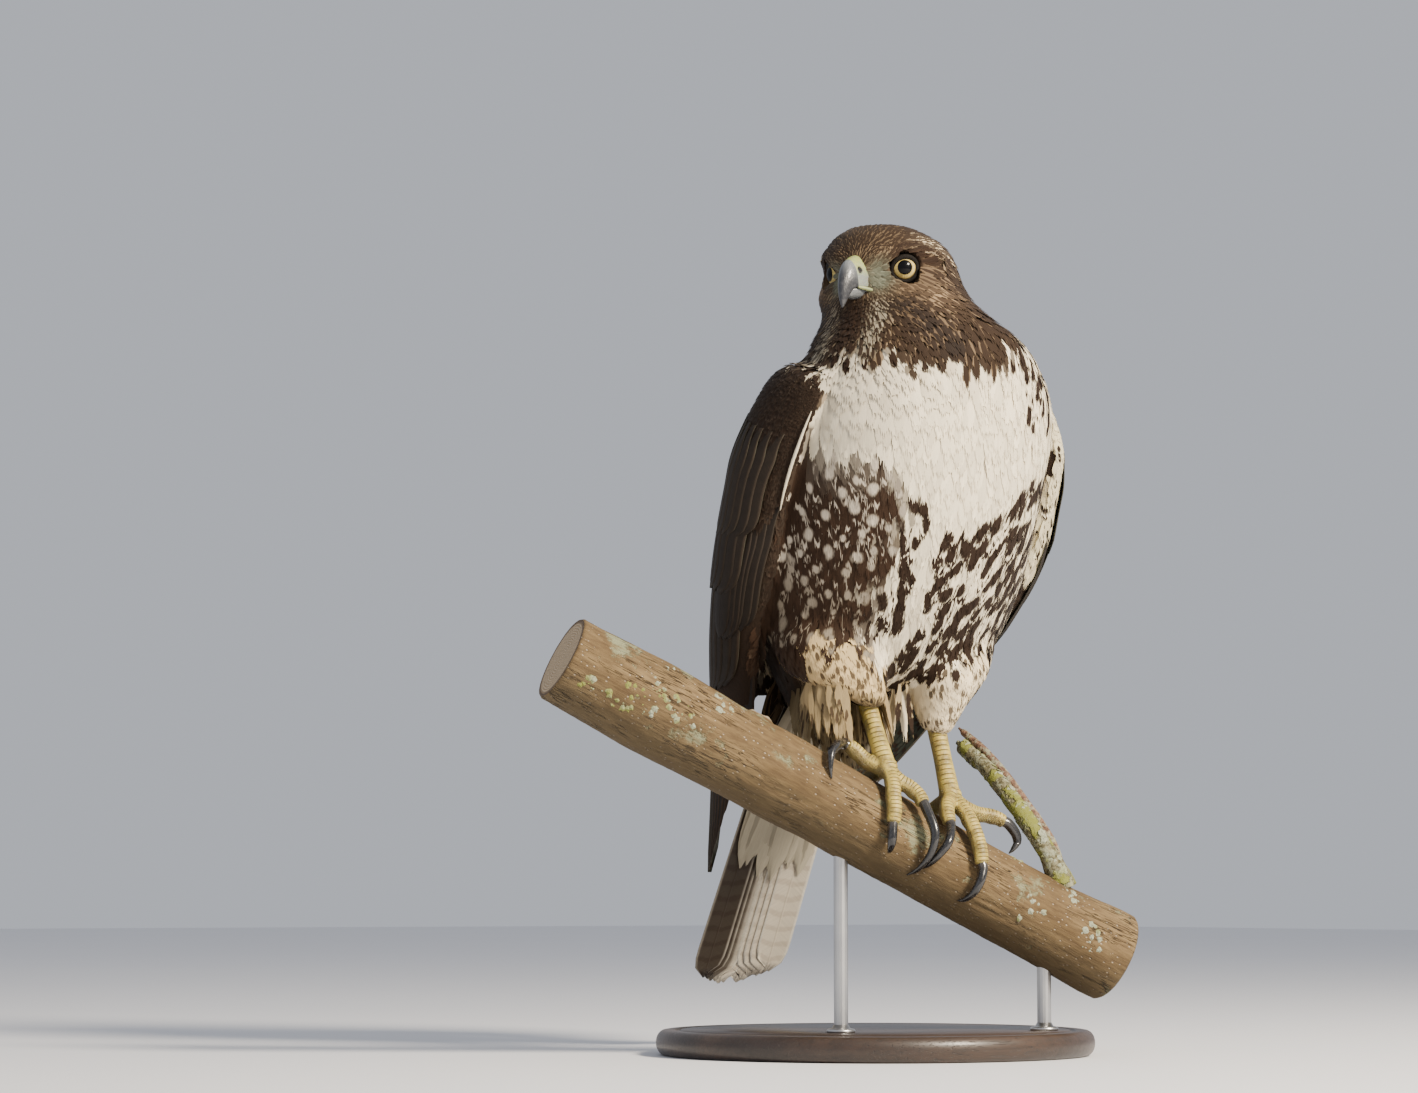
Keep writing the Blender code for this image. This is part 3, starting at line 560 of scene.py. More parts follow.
lichen_random = np.random.default_rng(21)
perch_rings = swept(perch_path, PERCH_UP, perch_reach)
perch_out = perch_rings - perch_path[:, None]
perch_out /= np.linalg.norm(perch_out, axis=2)[..., None]
picks_s = lichen_random.integers(6, perch_rows - 6, 6 * LICHEN_COUNT)
picks_a = lichen_random.integers(0, perch_around, 6 * LICHEN_COUNT)
grows = lumps(bark_place[picks_s, picks_a], 0.020, 31) > 0.42
grows &= np.cos(perch_angle[picks_a]) > -0.55
grows &= (perch_s[picks_s] < -0.10) | (perch_s[picks_s] > 0.055)
picks_s, picks_a = picks_s[grows][:LICHEN_COUNT], picks_a[grows][:LICHEN_COUNT]
lichen_sizes = 0.0009 + 0.0019 * lichen_random.random(len(picks_s)) ** 2
crust = rosettes(perch_rings[picks_s, picks_a], perch_out[picks_s, picks_a], lichen_sizes, 22)
lichen_paint = lichen_finish()
piece("branch_lichen", *crust, lichen_paint, "twig_bark", smooth=False)
twig_at = np.linspace(0.5, 3.9, 160)
twig_spots = through(twig_joints, twig_at)
twig_turn = lichen_random.random(len(twig_at)) * 2 * math.pi
twig_side = np.cos(twig_turn)[:, None] * PERCH_UP + np.sin(twig_turn)[:, None] * PERCH_FRONT
twig_spots = twig_spots + twig_side * through(np.array(TWIG_RADII_MM)[:, None], twig_at) * MM
twig_sizes = 0.0012 + 0.0022 * lichen_random.random(len(twig_at))
piece(
    "twig_lichen", *rosettes(twig_spots, twig_side, twig_sizes, 23), lichen_paint, "twig_bark", smooth=False
)

# Skin
# One skin over head, neck, trunk, thighs and the arms of the wings, stretched over the body as a taxidermist
# does. It lies under the feathers by their depth, and brow, lores and eye sockets are shaped in it.

HEAD_CENTRE_MM = np.array((-26.0, 0.0, 362.0))
HEAD_YAW = math.radians(62.0)
HEAD_PITCH = math.radians(3.0)
EYE_PLACE_MM = (8.8, 21.6, 5.2)  # forward, sideways and up from the head's centre
EYE_RADIUS_MM = 10.0
EYE_AXIS = np.array((0.79, 0.61, -0.03))
BILL_ROOT_MM = (33.0, 0.0, 2.0)
# Cross-sections from tail root to crown: x, y, z, yaw, dip, half width, front, back, narrowing to the front
BODY_SECTIONS_MM = (
    (0, 116, 98, 0, 52, 27, 26, 16, 0.0), (2, 98, 122, 0, 46, 53, 50, 28, 0.0),
    (4, 72, 152, 0, 38, 84, 71, 44, 0.0),
    (3, 47, 188, 0, 33, 95, 79, 55, 0.0), (1.5, 12, 244, 0, 28, 91, 76, 60, 0.0),
    (2, -6, 286, 3, 19, 88, 64, 56, 0.0),
    (-3, -12, 317, 15, 9, 72, 55, 53, 0.0), (-10, -6, 338, 42, 4, 54, 48, 55, 0.0),
    (-19, 0, 353, 60, 2, 46, 38, 61, 0.05), (-25, 0, 364, 62, 0, 42, 35, 63, 0.14),
    (-26, 0, 376, 62, 0, 39, 33, 61, 0.14), (-26, 0, 387, 62, 0, 33, 27, 51, 0.1),
    (-26, 0, 394, 62, 0, 20, 17, 32, 0.0),
)
WING_FRONT_MM = (
    (-84, -34, 297), (-94, -19, 257), (-97, -2, 222), (-96, 14, 180), (-90, 42, 136), (-80, 68, 90),
    (-64, 118, 40),
    (-46, 182, -12),
)
WING_WIDE_MM = (
    (-94, 8, 311), (-107, 34, 268), (-109, 50, 226), (-108, 66, 184), (-100, 86, 142), (-86, 110, 96),
    (-67, 144, 46),
    (-45, 187, -13),
)
WING_BACK_MM = (
    (-46, 36, 312), (-24, 66, 282), (-15, 92, 238), (-13, 111, 192), (-14, 126, 150), (-20, 140, 104),
    (-32, 166, 52),
    (-37, 190, -8),
)
WING_THICKNESS_MM = (18.0, 24.0, 22.0, 17.0, 12.0, 8.0, 4.5, 3.0)
# Thighs: x, y, z of the centre, half width, half depth
THIGHS_MM = {
    "right": ((-41, 42, 150, 41, 44), (-43, 34, 130, 38, 40), (-42, 28, 111, 32, 34), (-32, 18, 98, 17, 20),
              (-28, 14, 92.5, 8.5, 9.5)),
    "left": ((40, 42, 140, 40, 44), (35, 28, 118, 29, 38), (28, 19, 97, 17, 24), (23.5, 13, 82, 11, 14),
             (22.5, 11, 77, 8.5, 9.5)),
}
FLESH = ("trunk", "neck", "head", "thigh_left", "thigh_right", "wing_left", "wing_right")
SKIN_VOXEL = 2.1 * MM


head_frame = np.array((
    (
        -math.sin(HEAD_YAW) * math.cos(HEAD_PITCH), -math.cos(HEAD_YAW) * math.cos(HEAD_PITCH),
        -math.sin(HEAD_PITCH)
    ),
    (math.cos(HEAD_YAW), -math.sin(HEAD_YAW), 0.0),
    (
        -math.sin(HEAD_YAW) * math.sin(HEAD_PITCH), -math.cos(HEAD_YAW) * math.sin(HEAD_PITCH),
        math.cos(HEAD_PITCH)
    ),
))


def from_head(places_mm):
    """Millimetres from the grip for places given as forward, sideways and up from the head's centre."""
    return HEAD_CENTRE_MM + np.asarray(places_mm, float) @ head_frame


def to_head(points_mm):
    """Forward, sideways and up from the head's centre."""
    return (np.asarray(points_mm) - HEAD_CENTRE_MM) @ head_frame.T


def one_sided(places):
    """Places from the head's centre with its right side folded onto the left."""
    return places * np.where(places[:, 1:2] < 0, np.array((1.0, -1.0, 1.0)), 1.0)


def body_rings(stations, around):
    """Eggs along the body: across = half * s * (1 - narrow * cos), ahead = front or back * c, where s and
    c are the sine and cosine raised to 0.93 with their signs, in a frame that turns and dips with the
    table."""
    rows = through(BODY_SECTIONS_MM, stations)[:, :, None]
    yaw, dip = np.radians(rows[:, 3]), np.radians(rows[:, 4])
    angle = np.linspace(0, 2 * math.pi, around, endpoint=False)[None]
    side = np.sign(np.sin(angle)) * np.abs(np.sin(angle)) ** 0.93
    fore = np.sign(np.cos(angle)) * np.abs(np.cos(angle)) ** 0.93
    across = rows[:, 5] * side * (1 - rows[:, 8] * np.cos(angle))
    ahead = np.where(fore > 0, rows[:, 6], rows[:, 7]) * fore
    return np.stack((
        rows[:, 0] + across * np.cos(yaw) - ahead * np.sin(yaw) * np.cos(dip),
        rows[:, 1] - across * np.sin(yaw) - ahead * np.cos(yaw) * np.cos(dip),
        rows[:, 2] - ahead * np.sin(dip),
    ), axis=-1)


def wing_sheet(u, v):
    """The outer face of the folded right wing: a parabola in v through front edge, widest line and back
    edge, whose points run along smooth curves in u from the wrist (0) to the tip (7)."""
    u, v = np.broadcast_arrays(np.asarray(u, float), np.asarray(v, float))
    front, wide, back = (
        through(rows, u.ravel()).reshape(u.shape + (3,)) for rows in (
            WING_FRONT_MM, WING_WIDE_MM, WING_BACK_MM
        )
    )
    v, middle = v[..., None], 0.46
    at_wide = v * (1 - v) / (middle * (1 - middle))
    return (
        front * (v - middle) * (v - 1) / middle + wide * at_wide + back * v * (v - middle) / (1 - middle)
    )


def to_left(points_mm):
    """The right wing's points carried to the left: mirrored, set out by 9 mm, with the tip drawn in by up
    to 24, the wrist by 19, and the edge below the middle set back by up to 20."""
    x, y, z = np.moveaxis(points_mm, -1, 0)
    lower = np.clip((150 - z) / 160, 0, 1)
    wrist = np.clip((z - 255) / 50, 0, 1.2)
    tuck = np.clip((205 - z) / 70, 0, 1) * np.clip((z - 10) / 80, 0, 1)
    return np.stack(
        (-x + 9 * (1 - lower) - 24 * lower**1.5 - 19 * wrist**1.3, y + 20 * tuck, z + 8 * lower), axis=-1
    )


def wing_faces(side, u, v):
    """Points of the outer face at u, v with the unit vectors outward, down the wing and towards its back
    edge."""
    step = 0.01
    place = to_left if side == "left" else np.asarray
    u = np.clip(u, step, 7 - step)
    at = place(wing_sheet(u, v))
    down = place(wing_sheet(u + step, v)) - place(wing_sheet(u - step, v))
    across = place(wing_sheet(u, v + step)) - place(wing_sheet(u, v - step))
    out = np.cross(across, down) if side == "right" else np.cross(down, across)
    return at, *(w / np.linalg.norm(w, axis=-1)[..., None] for w in (out, down, across))


def two_faced(outer, inner):
    """Points and faces of a closed slab between two grids of points: both faces and the rim between them."""
    rows, columns = outer.shape[:2]
    count = rows * columns
    index = np.arange(count).reshape(rows, columns)
    face = np.stack((index[:-1, :-1], index[:-1, 1:], index[1:, 1:], index[1:, :-1]), axis=-1).reshape(-1, 4)
    rim = np.concatenate((index[0, :-1], index[:-1, -1], index[-1, :0:-1], index[:0:-1, 0]))
    beyond = np.roll(rim, -1)
    sides = np.stack((beyond, rim, rim + count, beyond + count), axis=-1)
    return np.concatenate((outer.reshape(-1, 3), inner.reshape(-1, 3))), [face, face[:, ::-1] + count, sides]


def thigh_rings(side, around=48):
    """Ellipses down the thigh: x from the centre by the half width, y and z by the half depth, tilted by a
    fifth."""
    rows = THIGHS_MM[side]
    x, y, z, wide, deep = through(rows, np.linspace(0, len(rows) - 1, 24)).T[:, :, None]
    angle = np.linspace(0, 2 * math.pi, around, endpoint=False)[None]
    ahead = deep * np.cos(angle)
    return np.stack((x + wide * np.sin(angle), y - ahead, z - 0.2 * ahead), axis=-1)


def grip_mm(points):
    """Metres in the model's frame from millimetres from the grip."""
    return GRIP + np.asarray(points) * MM


def united(solids, voxel, smoothing):
    """One closed skin round several closed solids: their union, remeshed in cubes of one size and
    smoothed."""
    starts = np.cumsum([0] + [len(solid_points) for solid_points, _ in solids])
    faces = [block + start for (_, blocks), start in zip(solids, starts) for block in blocks]
    holder = meshed(
        "union", np.concatenate([solid_points for solid_points, _ in solids]), faces, smooth=False
    )
    cubes = holder.modifiers.new("cubes", "REMESH")
    cubes.mode = "VOXEL"
    cubes.voxel_size = voxel
    soft = holder.modifiers.new("soft", "SMOOTH")
    soft.factor = 0.5
    soft.iterations = smoothing
    shape = bpy.data.meshes.new_from_object(holder.evaluated_get(bpy.context.evaluated_depsgraph_get()))
    bpy.data.objects.remove(holder)
    made = np.empty((len(shape.vertices), 3), np.float32)
    shape.vertices.foreach_get("co", made.ravel())
    shape.calc_loop_triangles()
    triangles = np.empty((len(shape.loop_triangles), 3), np.int32)
    shape.loop_triangles.foreach_get("vertices", triangles.ravel())
    bpy.data.meshes.remove(shape)
    return made.astype(float), triangles


def outward(points, triangles):
    """Unit normals of the points of a closed mesh: the sum of the cross products of their triangles'
    sides."""
    a, b, c = (points[triangles[:, i]] for i in range(3))
    cross = np.cross(b - a, c - a)
    normals = np.stack([
        sum(np.bincount(triangles[:, i], cross[:, axis], len(points)) for i in range(3)) for axis in range(3)
    ], axis=-1)
    return normals / np.maximum(np.linalg.norm(normals, axis=1), 1e-12)[:, None]


def wing_slab(side):
    """The arm of the wing as a slab: the outer face, rounded off at the wrist and the front edge, and an
    inner one deeper by a thickness that thins to the edges."""
    u, v = np.meshgrid(np.linspace(0, 5, 70), np.linspace(0, 1, 44), indexing="ij")
    outer, out, _, _ = wing_faces(side, u, v)
    rounded = 8 * (1 - np.clip(u / 0.45, 0, 1)) ** 2 + 4 * (1 - np.clip(v / 0.10, 0, 1)) ** 2
    outer = outer - out * rounded[..., None]
    filled = 14.4 if side == "left" else 3.6
    deep = through(np.array(WING_THICKNESS_MM)[:, None], u.ravel()).reshape(u.shape)
    deep = deep + filled * np.clip(1 - u / 4, 0, 1)
    thickness = deep * (0.6 + 0.4 * np.clip(v / 0.12, 0, 1) ** 0.5) * (
        0.22 + 0.78 * np.clip((1 - v) / 0.45, 0, 1) ** 0.7
    )
    inner = outer - out * np.maximum(thickness, 3.8)[..., None]
    points, faces = two_faced(grip_mm(outer), grip_mm(inner))
    return (points, faces) if side == "right" else (points, [block[:, ::-1] for block in faces])


body_stations = np.linspace(0, 12, 110)
body_grid = body_rings(body_stations, 72)
solids = [capped(grip_mm(body_grid)), wing_slab("right"), wing_slab("left")]
solids += [capped(grip_mm(thigh_rings(side))) for side in THIGHS_MM]
coat_points, coat_triangles = united(solids, SKIN_VOXEL, 9)
coat_normals = outward(coat_points, coat_triangles)


def near(places, centre, radius):
    """1 at the centre and 0 far away: a bell of each place's distance over the radius, which may differ by
    axis."""
    away = (np.asarray(places) - np.asarray(centre)) / np.asarray(radius)
    return np.exp(-(away**2).sum(axis=-1))


def near_line(places, joints, radius):
    """A bell of the distance to a broken line through the joints."""
    nearest = np.full(len(places), np.inf)
    for start, end in zip(np.asarray(joints[:-1], float), np.asarray(joints[1:], float)):
        share = np.clip((places - start) @ (end - start) / ((end - start) @ (end - start)), 0, 1)
        nearest = np.minimum(nearest, np.linalg.norm(places - start - share[:, None] * (end - start), axis=1))
    return np.exp(-((nearest / radius) ** 2))


def from_eye(places):
    """Distance from the eye's axis, and distance along it from the eye's centre, with both sides folded
    into one."""
    away = places - np.array(EYE_PLACE_MM)
    ahead = away @ (EYE_AXIS / np.linalg.norm(EYE_AXIS))
    return np.sqrt(np.maximum((away**2).sum(axis=-1) - ahead**2, 0)), ahead


BROW = ((26.0, 13.5, 12.5), (18.0, 25.0, 14.6), (6.0, 34.5, 14.2), (-8.0, 39.0, 11.0))
in_head = to_head((coat_points - GRIP) / MM)
folded = one_sided(in_head)
eye_off, eye_ahead = from_eye(folded)
at_head = in_head[:, 2] > -40
swell = 4.0 * near_line(folded, BROW, 4.6)
swell -= 4.6 * near(folded, (30.0, 18.5, 1.0), (11.0, 9.0, 8.0))
swell -= 3.4 * np.exp(-((eye_off / 9.0) ** 4)) * (eye_ahead > 0)
swell -= 1.6 * near(folded, (24.0, 23.0, -13.0), (9.0, 9.0, 5.0))
swell += 1.5 * near(folded, (4.0, 38.0, -10.0), (12.0, 10.0, 9.0))
swell += 2.6 * near(folded, (0.0, 0.0, 34.0), (26.0, 24.0, 14.0))
coat_points = coat_points + coat_normals * (swell * at_head * MM)[:, None]
coat_normals = outward(coat_points, coat_triangles)

# Eyes
# Blown glass eyes with a painted pale straw iris and a clear dome over it, each set in a ring of dark bare
# lid. The upper lid comes lower than the lower one, and the brow of feathers shades it.

IRIS_EDGE = math.radians(46.0)
PUPIL_EDGE = math.radians(26.5)


def polar_points(side, polar, turn, radius_mm):
    """Points round the eye's axis: polar angle from the axis, turn from the eye's top, radius from its
    centre."""
    axis = EYE_AXIS / np.linalg.norm(EYE_AXIS)
    upward = np.array((0.0, 0.0, 1.0)) - axis[2] * axis
    upward /= np.linalg.norm(upward)
    beside = np.cross(axis, upward)
    ring = np.cos(turn)[..., None] * upward + np.sin(turn)[..., None] * beside
    places = radius_mm[..., None] * (np.cos(polar)[..., None] * axis + np.sin(polar)[..., None] * ring)
    places = places + np.array(EYE_PLACE_MM)
    return grip_mm(from_head(places * np.array((1, 1 if side == "left" else -1, 1))))


def ring_faces(rows, around, side):
    """Quads between rings round the eye's axis, turned so that both eyes face out."""
    quads = skins(rows, around)
    return quads[:, ::-1] if side == "left" else quads


def glass_eye():
    """Colour by the angle from the axis: black pupil, straw iris with fine spokes and a brown rim, black
    beyond."""
    glass = Finish(
        "glass_eye", Roughness=0.4, Specular_IOR_Level=0.03, Coat_Weight=0.25, Coat_Roughness=0.01,
        Coat_IOR=1.5
    )
    ring = glass.node("Attribute", {"attribute_name": "ring"}, output="Vector")
    polar = glass.node("SeparateXYZ", None, {0: ring}, output=2)
    spokes = glass.noise(glass.stretched(ring, 26.0, 26.0, 3.0), 1.0, 3.0, 0.6)
    cloud = glass.noise(glass.stretched(ring, 2.5, 2.5, 8.0), 1.0, 2.0)
    colour = glass.mix(spokes.within(0.3, 0.7), (0.46, 0.33, 0.09), (0.72, 0.57, 0.22))
    colour = glass.mix(cloud.within(0.4, 0.75) * 0.35, colour, (0.34, 0.28, 0.13))
    colour = glass.mix(polar.within(PUPIL_EDGE, PUPIL_EDGE + 0.16), glass.tint(colour, 0.8), colour)
    colour = glass.mix(polar.within(IRIS_EDGE - 0.15, IRIS_EDGE - 0.02) * 0.85, colour, (0.07, 0.045, 0.018))
    colour = glass.mix(polar.within(PUPIL_EDGE - 0.012, PUPIL_EDGE + 0.012), (0.002, 0.002, 0.003), colour)
    colour = glass.mix(polar.within(IRIS_EDGE - 0.01, IRIS_EDGE + 0.03), colour, (0.006, 0.005, 0.004))
    return glass.paint(Base_Color=colour)


def lid_skin():
    """Dark grey brown skin, beaded by small noise."""
    lid = Finish("lid_skin", Roughness=0.7, Specular_IOR_Level=0.12)
    beads = lid.noise(lid.place(), 1900.0, 2.0)
    colour = lid.mix(beads.within(0.3, 0.7), (0.005, 0.004, 0.0035), (0.014, 0.011, 0.009))
    return lid.paint(Base_Color=colour, Normal=lid.bump(beads, 0.0003))


eye_paint, lid_paint = glass_eye(), lid_skin()
eye_turn = np.linspace(0, 2 * math.pi, 64, endpoint=False)
eye_polar = np.radians(np.concatenate((np.linspace(0.8, 60, 44), np.linspace(66, 172, 14))))
for side in ("left", "right"):
    polar, turn = np.meshgrid(eye_polar, eye_turn, indexing="ij")
    dome = EYE_RADIUS_MM + 0.8 * np.exp(-((polar / math.radians(36)) ** 2))
    points, faces = capped(polar_points(side, polar, turn, dome))
    faces = [block[:, ::-1] for block in faces] if side == "left" else faces
    eye = piece(f"glass_eye_{side}", points, faces, eye_paint, "eye_clear", [f"eye_{side}"])
    ring_place = np.stack((np.cos(turn), np.sin(turn), polar), axis=-1).reshape(-1, 3)
    attach(eye, "ring", np.concatenate((ring_place, ((0, 0, 0), (0, 0, math.pi)))))
    over = np.clip(np.cos(eye_turn - 0.25), 0, 1) ** 0.8
    inner = np.radians(46.5 - 19.0 * over + 0.6 * np.cos(2 * eye_turn))
    steps = np.radians(np.array((0.0, 0.0, 1.6, 5.0, 10.0, 16.0, 22.0, 27.0)))
    lifts = np.array((9.6, 10.65, 11.0, 11.6, 11.8, 11.5, 10.6, 8.6))
    polar = inner[None] + steps[:, None]
    lift = lifts[:, None] + over[None] * np.array((0, 0.1, 0.5, 1.0, 1.1, 0.8, 0.3, 0.0))[:, None]
    turn = np.broadcast_to(eye_turn, polar.shape)
    rings = polar_points(side, polar, turn, lift)
    piece(f"lids_{side}", rings.reshape(-1, 3), [ring_faces(*rings.shape[:2], side)], lid_paint, "bill_horn")

# Bill
# A hooked upper bill of layered horn, black grey at the hook and paler at its root, over a short lower bill.
# The cere is soft waxy skin, yellow green above and grey green at the sides, pierced by two round nostrils.

CERE_TOP = ((22.0, 15.0), (31.0, 13.6), (36.0, 12.2), (39.4, 10.6), (40.3, 10.0))
CERE_LOW = ((22.0, -6.0), (31.0, -6.6), (36.0, -6.9), (38.4, -7.1), (39.2, -7.1))
CERE_HALF = (9.4, 8.8, 7.8, 6.9, 6.2)
HORN_TOP = (
    (38.4, 10.2), (39.8, 10.2), (43.2, 8.2), (46.8, 2.4), (49.2, -4.0), (50.2, -10.6), (50, -16.2),
    (49, -20.8)
)
HORN_LOW = (
    (37.4, -7.0), (38.8, -7.1), (41, -7.6), (43, -8.8), (44.8, -11.4), (46.2, -14.4), (47.4, -17.8),
    (48.5, -20.5)
)
HORN_HALF = (6.6, 6.6, 6.2, 5.3, 4.2, 3.1, 1.9, 0.5)
JAW_TOP = ((18.0, -7.7), (31.0, -8.1), (38.0, -8.3), (41.4, -9.1), (43.0, -10.8))
JAW_LOW = ((18.0, -14.6), (31.0, -14.6), (38.0, -14.4), (41.4, -14.0), (42.8, -13.2))
JAW_HALF = (9.4, 7.8, 5.6, 3.8, 2.0)
NOSTRIL_MM = (36.6, 7.4, 3.4)


def bill_rings(top, low, half, rows, around, upward=True):
    """Arches on a flat chord: forward and up go from the chord to the ridge as sine raised to 0.8, while
    sideways goes as cosine; the chord bulges by a tenth of that."""
    at = np.linspace(0, len(top) - 1, rows)
    ridge, edge = through(top, at)[:, None], through(low, at)[:, None]
    wide = through(np.array(half)[:, None], at)
    start, end = (edge, ridge) if upward else (ridge, edge)
    angle = np.linspace(0, 2 * math.pi, around, endpoint=False)
    rise = np.where(np.sin(angle) > 0, np.abs(np.sin(angle)) ** 0.8, -0.06 * np.abs(np.sin(angle)))
    spot = start + (end - start) * rise[None, :, None]
    side = wide * np.cos(angle)
    return np.stack((spot[..., 0], side, spot[..., 1]), axis=-1)


def cere_finish():
    """Yellow green on the ridge, grey green lower down, with tiny pores, and painted shade that makes the
    nostril's dent near black.
    """
    cere = Finish("cere", Roughness=0.42, Subsurface_Weight=0.15, Subsurface_Scale=0.002)
    spot = cere.node("Attribute", {"attribute_name": "head_place"}, output="Vector")
    up = cere.node("SeparateXYZ", None, {0: spot}, output=2)
    nostril = cere.node("Attribute", {"attribute_name": "nostril"}, output="Fac")
    cloud = cere.noise(cere.place(), 320.0, 3.0)
    pores = cere.noise(cere.place(), 2400.0, 2.0)
    colour = cere.mix(up.within(-1.0, 8.5), (0.215, 0.25, 0.165), (0.33, 0.37, 0.11))
    colour = cere.mix(up.within(1.6, -1.0), colour, (0.19, 0.205, 0.195))
    colour = cere.mix(cloud.within(0.35, 0.7) * 0.45, colour, (0.24, 0.26, 0.17))
    # Painted shade: the nostril's shallow dent is painted near black for the depth of its hole.
    colour = cere.mix(nostril.within(0.16, 0.4), colour, (0.010, 0.008, 0.006))
    return cere.paint(Base_Color=colour, Normal=cere.bump(pores + cloud, 0.0003))


def horn_finish():
    """Horn from pale grey at the root, partly a painted highlight, to near black at the hook, with growth
    lines along it.
    """
    horn = Finish("bill_horn", Roughness=0.4, Coat_Weight=0.25, Coat_Roughness=0.12)
    spot = horn.node("Attribute", {"attribute_name": "head_place"}, output="Vector")
    tipward = horn.node("Attribute", {"attribute_name": "tipward"}, output="Fac")
    streak = horn.noise(horn.stretched(spot, 0.5, 2.2, 0.5), 1.0, 4.0, 0.6)
    cloud = horn.noise(spot, 0.35, 3.0)
    # Painted highlight in part: the pale grey at the root also stands for light on the glossy horn.
    colour = horn.mix(tipward.within(0.05, 0.6), (0.20, 0.215, 0.225), (0.020, 0.021, 0.025))
    colour = horn.mix(streak.within(0.35, 0.7) * 0.5, colour, (0.060, 0.062, 0.072))
    colour = horn.mix(cloud.within(0.5, 0.75) * 0.12, colour, (0.30, 0.29, 0.28))
    return horn.paint(Base_Color=colour, Roughness=0.26 + streak * 0.16, Normal=horn.bump(streak, 0.0003))


def bill_piece(name, rings, material, slot, replaced):
    """A closed bill piece from rings of head places, which it also keeps for its material."""
    points, faces = capped(rings)
    made = piece(name, grip_mm(from_head(points)), faces, material, slot, replaced)
    attach(made, "head_place", points)
    return made


cere_rings = bill_rings(CERE_TOP, CERE_LOW, CERE_HALF, 60, 72)
folded_rings = np.abs(cere_rings * np.array((0, 1, 0))) + cere_rings * np.array((1, 0, 1))
hole = near(folded_rings, NOSTRIL_MM, (1.9, 3.4, 1.9))
cere_rings[..., 1] -= np.sign(cere_rings[..., 1]) * 2.2 * eased(hole, 0.25, 0.7)
cere = bill_piece("soft_cere", cere_rings, cere_finish(), "cere_skin", ["cere"])
attach(cere, "nostril", np.concatenate((hole.ravel(), (0, 0))))
horn_paint = horn_finish()
horn_rings = bill_rings(HORN_TOP, HORN_LOW, HORN_HALF, 90, 56)
upper_bill = bill_piece("hooked_bill", horn_rings, horn_paint, "bill_horn", ["upper_bill"])
tip_share = np.clip((10 - horn_rings[..., 2]) / 30 + (horn_rings[..., 0] - 40) / 40, 0, 1).ravel()
attach(upper_bill, "tipward", np.concatenate((tip_share, (0, 1))))
jaw_rings = bill_rings(JAW_TOP, JAW_LOW, JAW_HALF, 50, 48, upward=False)
lower_bill = bill_piece("lower_jaw", jaw_rings, horn_paint, "bill_horn", ["lower_bill"])
attach(lower_bill, "tipward", np.concatenate((np.full(jaw_rings[..., 0].size, 0.25), (0, 0.5))))

# Gape
# The soft yellow green lips at the corner of the mouth, which run back from the cere under the eye. On each
# side of the head they are one short raised strip.

GAPE_MM = ((38.8, 6.0, -7.4), (36.0, 7.6, -7.9), (33.0, 9.4, -8.6), (30.6, 11.0, -9.2), (29.0, 12.0, -9.8))
GAPE_RADII_MM = (0.9, 1.2, 1.3, 1.1, 0.5)


def gape_finish():
    gape = Finish("gape_skin", Roughness=0.45)
    cloud = gape.noise(gape.place(), 420.0, 3.0)
    colour = gape.mix(cloud.within(0.3, 0.7), (0.19, 0.22, 0.10), (0.29, 0.31, 0.14))
    return gape.paint(Base_Color=colour, Normal=gape.bump(cloud, 0.0003))


gape_paint = gape_finish()
for side, way in (("left", 1), ("right", -1)):
    at = np.linspace(0, len(GAPE_MM) - 1, 40)
    line = through(np.array(GAPE_MM) * (1, way, 1), at)
    thick = through(np.array(GAPE_RADII_MM)[:, None], at)
    lips = swept(line, np.array((0.0, 0.0, 1.0)), np.repeat(thick, 12, axis=1))
    piece(f"gape_{side}", *capped(grip_mm(from_head(lips))), gape_paint, "cere_skin")

# Legs
# Bare lower legs and toes in one skin for each foot: broad horny plates across the front of the leg and the
# tops of the toes, small round scales at the sides, and rough pads below. The toes are wired round the
# branch.

